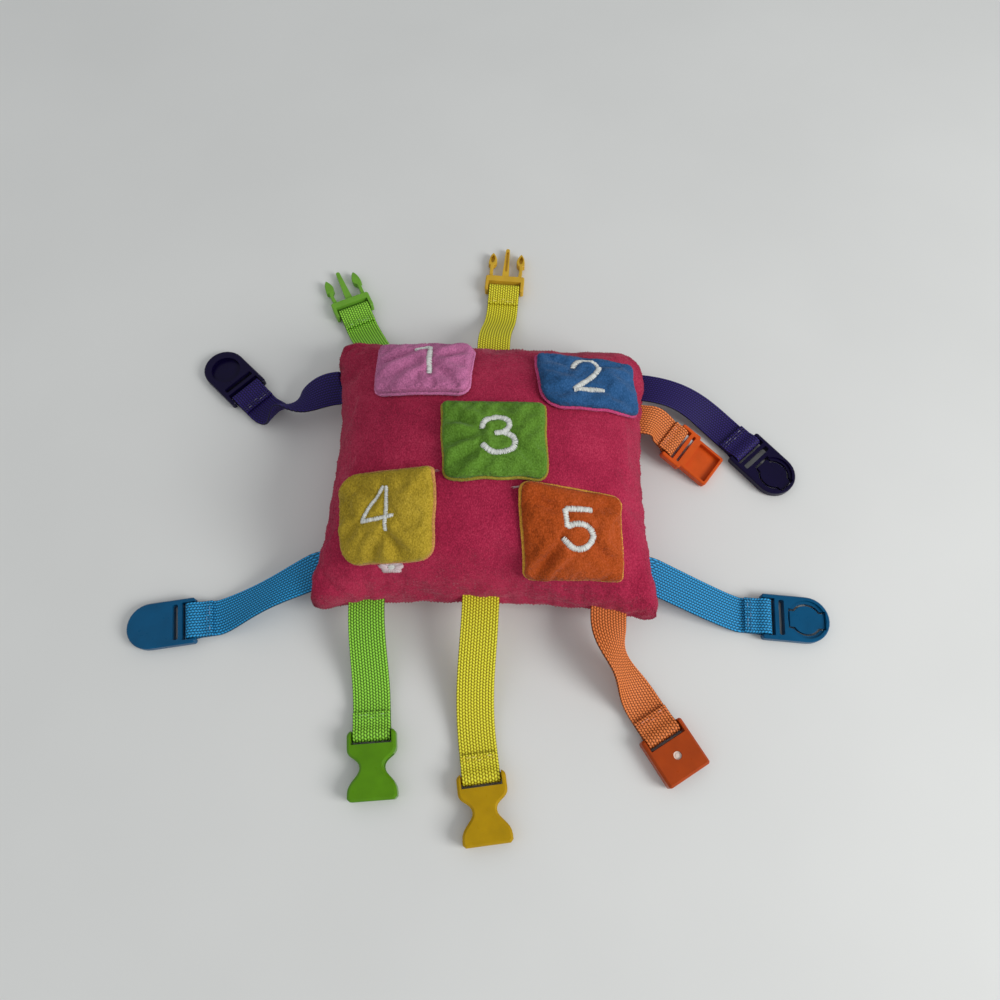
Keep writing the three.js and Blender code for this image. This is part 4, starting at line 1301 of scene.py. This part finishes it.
def strap_path(name, row):
    """Places along a strap's middle and the directions across it, from inside the seam to the folded end, and
    the place of the seam."""
    lift = HINGES[f"{name}_lift"]
    swing = HINGES[f"{row['buckle']}_swing"]
    start = np.array(lift["pos_m"]) / MM
    bar = np.array(swing["pos_m"]) / MM
    edge = unit(np.array(lift["axis"], float))
    out = np.array([*row["side"], 0.0])
    out = unit(out - edge * (out @ edge))
    across = unit(-np.array(swing["axis"], float))
    heading = math.atan2(-across[0], across[1])
    dip = math.radians(row.get("dip", 0.0))
    ahead = np.array([math.cos(heading) * math.cos(dip), math.sin(heading) * math.cos(dip), -math.sin(dip)])
    above = np.cross(ahead, across)
    fold = row.get("fold", FOLD)

    def near(back, rise):
        return bar - np.multiply.outer(back, ahead) + np.multiply.outer(rise, above)

    end = near(fold + FOLD_LEAD, -LAYER_MID)
    span = row.get("ease", 0.4) * np.linalg.norm(end - start)
    root = edge if edge @ across > 0 else -edge
    if row.get("straight"):
        out = unit(end - start)
    a, b, c, d = start, start + out * span, end - ahead * span, end
    t = np.linspace(0, 1, 120, endpoint=False)[:, None]
    run = curve(a, b, c, d, t)
    along = unit(3 * (b - a) * (1 - t) ** 2 + 6 * (c - b) * t * (1 - t) + 3 * (d - c) * t * t)
    wide = root + (across - root) * smooth_step(t)
    wide = unit(wide - along * (wide * along).sum(1, keepdims=True))
    power = math.log(0.5) / math.log(row.get("roll_at", 0.5))
    roll = np.radians(row.get("roll", 0.0)) * np.sin(math.pi * t**power) ** row.get("pinch", 2.0)
    run[:, 2:] += np.abs(np.sin(roll)) * WEBBING * ROLL_RAISE
    roll += np.radians(row.get("lean", 0.0)) * (1 - smooth_step(2 * t))
    wide = wide * np.cos(roll) + np.cross(along, wide) * np.sin(roll)
    tail = folded_end(near, fold)
    run = np.concatenate([[start - out * SEAM_TAKE], run, tail])
    wide = np.concatenate([[root], wide, np.repeat(across[None], len(tail), 0)])
    return run, wide, start


class PILLOW_OT_straps(bpy.types.Operator):
    """Weaves the ten straps and sews their folded ends down"""

    bl_idname = "buckle_pillow.straps"
    bl_label = "Straps"

    def execute(self, context):
        sizes = context.scene.webbing_settings
        stitch = make_stitch()
        cloths = {}
        threads = {}
        for colour in MOULDINGS:
            cloths[colour] = webbing_material(f"{colour}_webbing", getattr(sizes, colour))
            threads[colour] = thread_material(f"{colour}_thread", shade(getattr(sizes, colour), 0.9))
        for name, row in STRAPS.items():
            colour = name.split("_")[0]
            path, wide = self.weave(sizes, name, row, cloths[colour], colour)
            self.tack(stitch, name, path, wide, threads[colour])
        return {"FINISHED"}

    def yarn_heights(self, sizes, places, offsets):
        """The round crowns of yarns in columns that slant to and fro, from 0 to 1."""
        rib = sizes.width / MM / sizes.ribs
        column = np.minimum(np.floor(offsets / rib + sizes.ribs / 2 + 1e-6), sizes.ribs - 1)
        local = offsets / rib + sizes.ribs / 2 - column - 0.5
        slant = np.where(column % 2 == 0, 1.0, -1.0)
        phase = (places[:, None] / (sizes.pitch / MM) + slant * (0.25 + local * 0.45)) % 1.0 - 0.5
        return np.sqrt(np.clip(1 - 3.4 * local**2 - 3.8 * phase**2, 0, 1))

    def weave(self, sizes, name, row, cloth, colour):
        path, wide, start = strap_path(name, row)
        run = np.concatenate([[0], np.cumsum(np.linalg.norm(np.diff(path, axis=0), axis=1))])
        places = np.linspace(0, run[-1], int(run[-1] / (sizes.pitch / MM / 5)))
        line = np.stack([np.interp(places, run, path[:, k]) for k in range(3)], -1)
        across = unit(np.stack([np.interp(places, run, wide[:, k]) for k in range(3)], -1))
        along = unit(np.gradient(line, axis=0))
        thick = unit(np.cross(along, across))
        width = sizes.width / MM
        offsets = np.linspace(-width / 2, width / 2, sizes.ribs * 4 + 1)
        yarn = self.yarn_heights(sizes, places, offsets)
        border = BORDER_SHARE + (1 - BORDER_SHARE) * round_edge(width / 2 - np.abs(offsets), BORDER)
        rise = (WEB_HALF + sizes.relief / MM * yarn) * border
        middle = line[:, None] + across[:, None] * offsets[:, None]
        upper = middle + thick[:, None] * rise[..., None]
        lower = middle - thick[:, None] * rise[..., None]
        strap = closed_pad(f"{name}_webbing", upper, lower)
        made = bmesh.new()
        made.from_mesh(strap.data)
        bmesh.ops.recalc_face_normals(made, faces=made.faces)
        made.to_mesh(strap.data)
        made.free()
        heights = strap.data.attributes.new("yarn_height", "FLOAT", "POINT")
        heights.data.foreach_set("value", np.tile(yarn.ravel(), 2).astype(np.float32))
        smooth(strap)
        dress(strap, cloth)
        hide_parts(name)
        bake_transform(strap)
        return path, wide

    def tack(self, stitch, name, path, wide, thread):
        along = unit(path[-2] - path[-1])
        across = unit(wide[-1])
        upright = unit(np.cross(-along, across))
        if upright[2] < 0:
            upright = -upright
        places = []
        for back in TACK_ROWS:
            base = path[-1] + along * back + upright * TACK_RISE
            for offset in np.linspace(-TACK_REACH, TACK_REACH, TACK_COUNT):
                places.append((base + across * offset, across, upright, TACK_LENGTH))
        row_of_stitches = sew(f"{name}_stitching", stitch, places, TACK_THREAD, TACK_ARCH)
        dress(row_of_stitches, thread)
        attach(row_of_stitches, name)


class PILLOW_OT_buckles(bpy.types.Operator):
    """Finishes the moulded buckles with rounded edges and satin plastic"""

    bl_idname = "buckle_pillow.buckles"
    bl_label = "Buckles"

    def execute(self, context):
        sizes = context.scene.buckle_settings
        bodies = {}
        for body, nodes in frame["record"]["behaviour"]["bodies"].items():
            bodies.update(dict.fromkeys(nodes, body))
        for colour, names in MOULDINGS.items():
            plain = getattr(sizes, colour)
            finishes = {"": plastic_material(f"{colour}_plastic", plain)}
            for name in names:
                moulding = self.round_edges(name, sizes.edge)
                kind = name.split("_")[1]
                # A plug gets a brighter, paler copy of its colour as painted light; the box gets a deeper one
                if kind in PLUG_LIGHT_AND_BOX_TONE and kind not in finishes:
                    share, pale = PLUG_LIGHT_AND_BOX_TONE[kind]
                    shifted_colour = paler(shade(plain, share), pale)
                    finishes[kind] = plastic_material(f"{colour}_{kind}_plastic", shifted_colour)
                dress(moulding, finishes.get(kind, finishes[""]))
                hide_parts(name)
                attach(moulding, bodies[name])
        self.set_stud(sizes)
        return {"FINISHED"}

    def set_stud(self, sizes):
        """The pale round stud that shows in the box's window."""
        swing = HINGES["orange_box_swing"]
        across = -Vector(swing["axis"])
        ahead = Vector((across.y, -across.x, 0)).normalized()
        place = Vector(swing["pos_m"]) + ahead * sizes.stud_reach + Vector((0, 0, STUD_MIDDLE * MM))
        bpy.ops.object.select_all(action="DESELECT")
        bpy.ops.mesh.primitive_cylinder_add(
            vertices=STUD_SIDES, radius=sizes.stud / 2, depth=STUD_HEIGHT * MM, location=place
        )
        stud = bpy.context.active_object
        stud.name = "orange_box_stud"
        bpy.ops.object.transform_apply(location=True, rotation=True, scale=True)
        bpy.ops.object.mode_set(mode="EDIT")
        bpy.ops.mesh.select_all(action="DESELECT")
        shell = bmesh.from_edit_mesh(stud.data)
        top = max(shell.faces, key=lambda face: face.calc_center_median().z)
        top.select_set(True)
        bmesh.update_edit_mesh(stud.data)
        for inwards, rise in STUD_STEPS:
            bpy.ops.mesh.inset(thickness=inwards * MM)
            bpy.ops.transform.translate(value=(0, 0, rise * MM))
        bpy.ops.object.mode_set(mode="OBJECT")
        apply_modifier(stud, "BEVEL", width=STUD_EDGE * MM, segments=2, limit_method="ANGLE")
        pick(stud)
        bpy.ops.object.shade_smooth_by_angle(angle=math.radians(SMOOTH_TURN))
        dress(stud, plastic_material("stud_plastic", sizes.stud_colour))
        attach(stud, "orange_box")

    def round_edges(self, name, edge):
        moulding = bpy.data.objects.new(f"{name}_moulding", frame["nodes"][name].data.copy())
        bpy.context.scene.collection.objects.link(moulding)
        pick(moulding)
        bpy.ops.object.mode_set(mode="EDIT")
        bpy.ops.mesh.select_all(action="SELECT")
        bpy.ops.mesh.remove_doubles(threshold=WELD * MM)
        bpy.ops.mesh.dissolve_limited(angle_limit=math.radians(FLAT_TURN))
        bpy.ops.object.mode_set(mode="OBJECT")
        apply_modifier(
            moulding, "BEVEL", width=edge, segments=2, limit_method="ANGLE",
            angle_limit=math.radians(EDGE_TURN), use_clamp_overlap=True, miter_outer="MITER_ARC",
        )
        pick(moulding)
        bpy.ops.object.shade_smooth_by_angle(angle=math.radians(SMOOTH_TURN))
        apply_modifier(moulding, "WEIGHTED_NORMAL", mode="FACE_AREA", weight=50, keep_sharp=True)
        return moulding


class PILLOW_OT_stage(bpy.types.Operator):
    """Sets the pale floor, the soft light and the camera"""

    bl_idname = "buckle_pillow.stage"
    bl_label = "Stage"

    def execute(self, context):
        sizes = context.scene.stage_settings
        bpy.ops.object.select_all(action="DESELECT")
        bpy.ops.mesh.primitive_plane_add(size=FLOOR_SIZE, location=(0, 0, -FLOOR_DROP))
        floor = context.active_object
        floor.name = "floor"
        bpy.ops.object.transform_apply(location=True, rotation=True, scale=True)
        dress(floor, floor_material("pale_table", sizes.floor))

        world = bpy.data.worlds.new("studio")
        context.scene.world = world
        world.use_nodes = True
        sky = world.node_tree.nodes["Background"]
        sky.inputs["Color"].default_value = SKY
        sky.inputs["Strength"].default_value = sizes.ambient

        for name, (place, size, share) in LIGHTS.items():
            lamp = bpy.data.lights.new(name, "AREA")
            lamp.energy = sizes.key * share
            lamp.size = size
            light = bpy.data.objects.new(name, lamp)
            context.scene.collection.objects.link(light)
            light.location = place
            light.rotation_euler = (-Vector(place)).to_track_quat("-Z", "Y").to_euler()

        camera = bpy.data.objects.new("camera", bpy.data.cameras.new("camera"))
        context.scene.collection.objects.link(camera)
        camera.data.sensor_width = SENSOR
        camera.data.lens = sizes.lens
        camera.data.clip_start = NEAREST
        rise, yaw, roll = np.radians(CAMERA_TURNS)
        ahead = Vector((math.sin(yaw) * math.cos(rise), math.cos(yaw) * math.cos(rise), -math.sin(rise)))
        level = Vector((math.cos(yaw), -math.sin(yaw), 0))
        over = level.cross(ahead)
        right = level * math.cos(roll) + over * math.sin(roll)
        upright = over * math.cos(roll) - level * math.sin(roll)
        turned = Matrix((right, upright, -ahead)).transposed()
        camera.matrix_world = Matrix.Translation(CAMERA_PLACE) @ turned.to_4x4()
        context.scene.camera = camera
        context.scene.view_settings.view_transform = "Standard"
        return {"FINISHED"}


class PILLOW_PT_panel(bpy.types.Panel):
    """Lists the steps that make the pillow"""

    bl_idname = "PILLOW_PT_panel"
    bl_label = "Buckle Pillow"
    bl_space_type = "VIEW_3D"
    bl_region_type = "UI"
    bl_category = "Buckle Pillow"

    def draw(self, context):
        for step in STEPS:
            self.layout.operator(step.bl_idname)


SETTINGS = {
    "pillow_settings": PillowSettings,
    "flap_settings": FlapSettings,
    "webbing_settings": WebbingSettings,
    "buckle_settings": BuckleSettings,
    "stage_settings": StageSettings,
}
STEPS = (
    PILLOW_OT_stage,
    PILLOW_OT_body,
    PILLOW_OT_flaps,
    PILLOW_OT_numerals,
    PILLOW_OT_embroidery,
    PILLOW_OT_straps,
    PILLOW_OT_buckles,
)


def register():
    for settings in SETTINGS.values():
        bpy.utils.register_class(settings)
    for step in STEPS:
        bpy.utils.register_class(step)
    bpy.utils.register_class(PILLOW_PT_panel)
    for name, settings in SETTINGS.items():
        setattr(bpy.types.Scene, name, bpy.props.PointerProperty(type=settings))


def unregister():
    for name in SETTINGS:
        delattr(bpy.types.Scene, name)
    bpy.utils.unregister_class(PILLOW_PT_panel)
    for step in reversed(STEPS):
        bpy.utils.unregister_class(step)
    for settings in SETTINGS.values():
        bpy.utils.unregister_class(settings)


def main():
    register()
    bpy.ops.buckle_pillow.stage()
    bpy.ops.buckle_pillow.body()
    bpy.ops.buckle_pillow.flaps()
    bpy.ops.buckle_pillow.numerals()
    bpy.ops.buckle_pillow.embroidery()
    bpy.ops.buckle_pillow.straps()
    bpy.ops.buckle_pillow.buckles()


if __name__ == "__main__":
    main()
